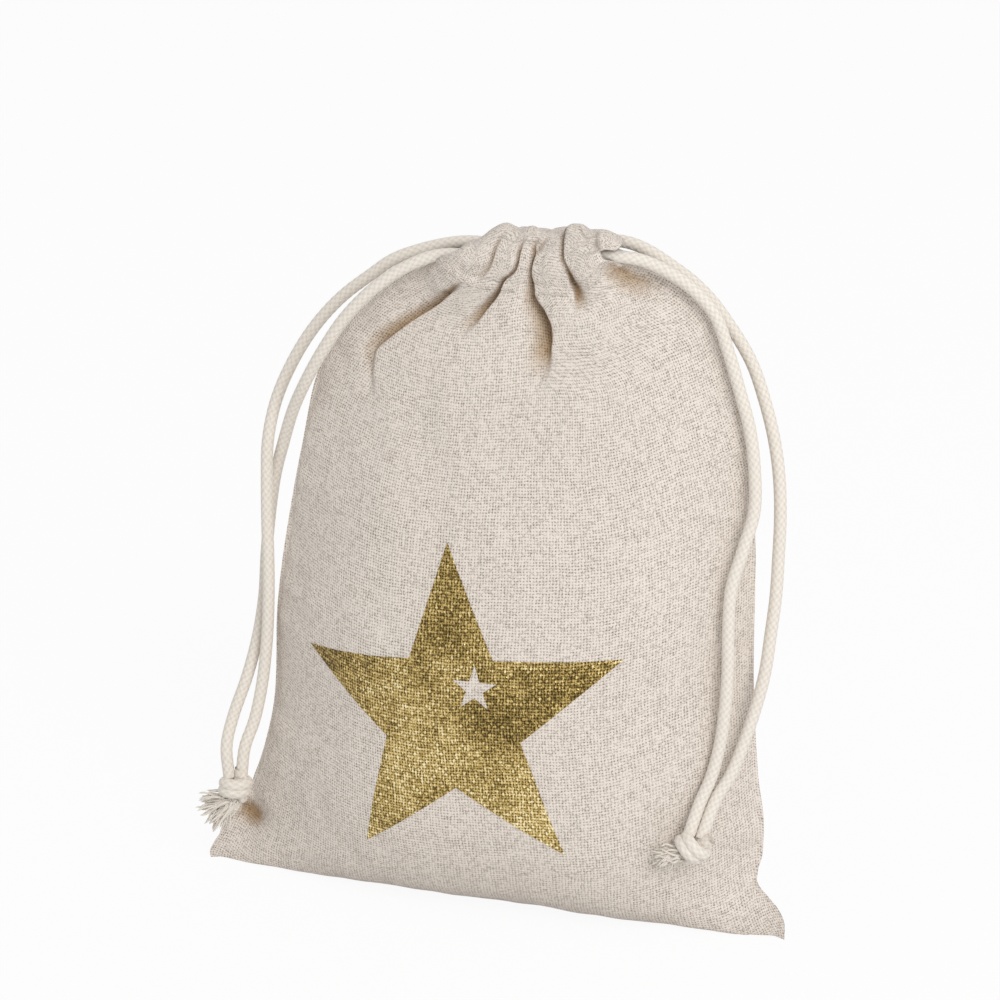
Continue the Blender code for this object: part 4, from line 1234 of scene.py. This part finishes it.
# %% [markdown]
# ## Floor and light
# A plain pale floor takes a faint shadow. One large soft lamp stands at the front right, and the bright room
# fills the rest, so that the left side stays gently darker.

# %% Floor, lamps and room
FLOOR_HALF, FLOOR_HEIGHT = 6, -0.0002
FLOOR_GLOW = 0.93  # how much of what the camera sees of the floor is its own pale glow
LAMP_PLACE = Vector((0.75, -0.85, 0.85))
LAMP_AIM = Vector((0, 0, 0.09))
corners = [(x * FLOOR_HALF, y * FLOOR_HALF, FLOOR_HEIGHT) for x, y in ((-1, -1), (1, -1), (1, 1), (-1, 1))]
ground = bpy.data.meshes.new("floor")
ground.from_pydata(corners, [], [(0, 1, 2, 3)])
floor = bpy.data.objects.new("floor", ground)
bpy.context.scene.collection.objects.link(floor)
floor_finish, shader, wires = new_finish("white floor")
wires.plug(shader, {"Base Color": (0.78, 0.78, 0.78, 1), "Roughness": 0.8})
camera_ray, glossy_ray = (wires.node("LightPath", {}, {}, output) for output in (0, 3))
seen = wires.math("MAXIMUM", camera_ray, glossy_ray)
glow = wires.node("Emission", {}, {"Color": (1, 1, 1, 1), "Strength": 1.0})
lit = Wire(wires.tree, shader.outputs[0])
both = wires.node("MixShader", {}, {0: seen * FLOOR_GLOW, 1: lit, 2: glow})
surface = wires.tree.nodes["Material Output"].inputs["Surface"]
wires.tree.links.new(both.socket, surface)
ground.materials.append(floor_finish)

room = bpy.data.worlds.new("room")
bpy.context.scene.world = room
room.use_nodes = True
wires = Wire(room.node_tree)
back = room.node_tree.nodes["Background"]
back.inputs["Color"].default_value = (1, 1, 1, 1)
seen = wires.node("LightPath", {}, {}, 0)
wires.tree.links.new((0.70 + 0.30 * seen).socket, back.inputs["Strength"])

softbox = bpy.data.lights.new("right_front_softbox", "AREA")
softbox.shape = "SQUARE"
softbox.size = 0.7
softbox.energy = 8.8
lamp = bpy.data.objects.new("right_front_softbox", softbox)
lamp.location = LAMP_PLACE
lamp.rotation_euler = (LAMP_AIM - LAMP_PLACE).to_track_quat("-Z", "Y").to_euler()
bpy.context.scene.collection.objects.link(lamp)
bpy.context.scene.view_settings.view_transform = "Standard"
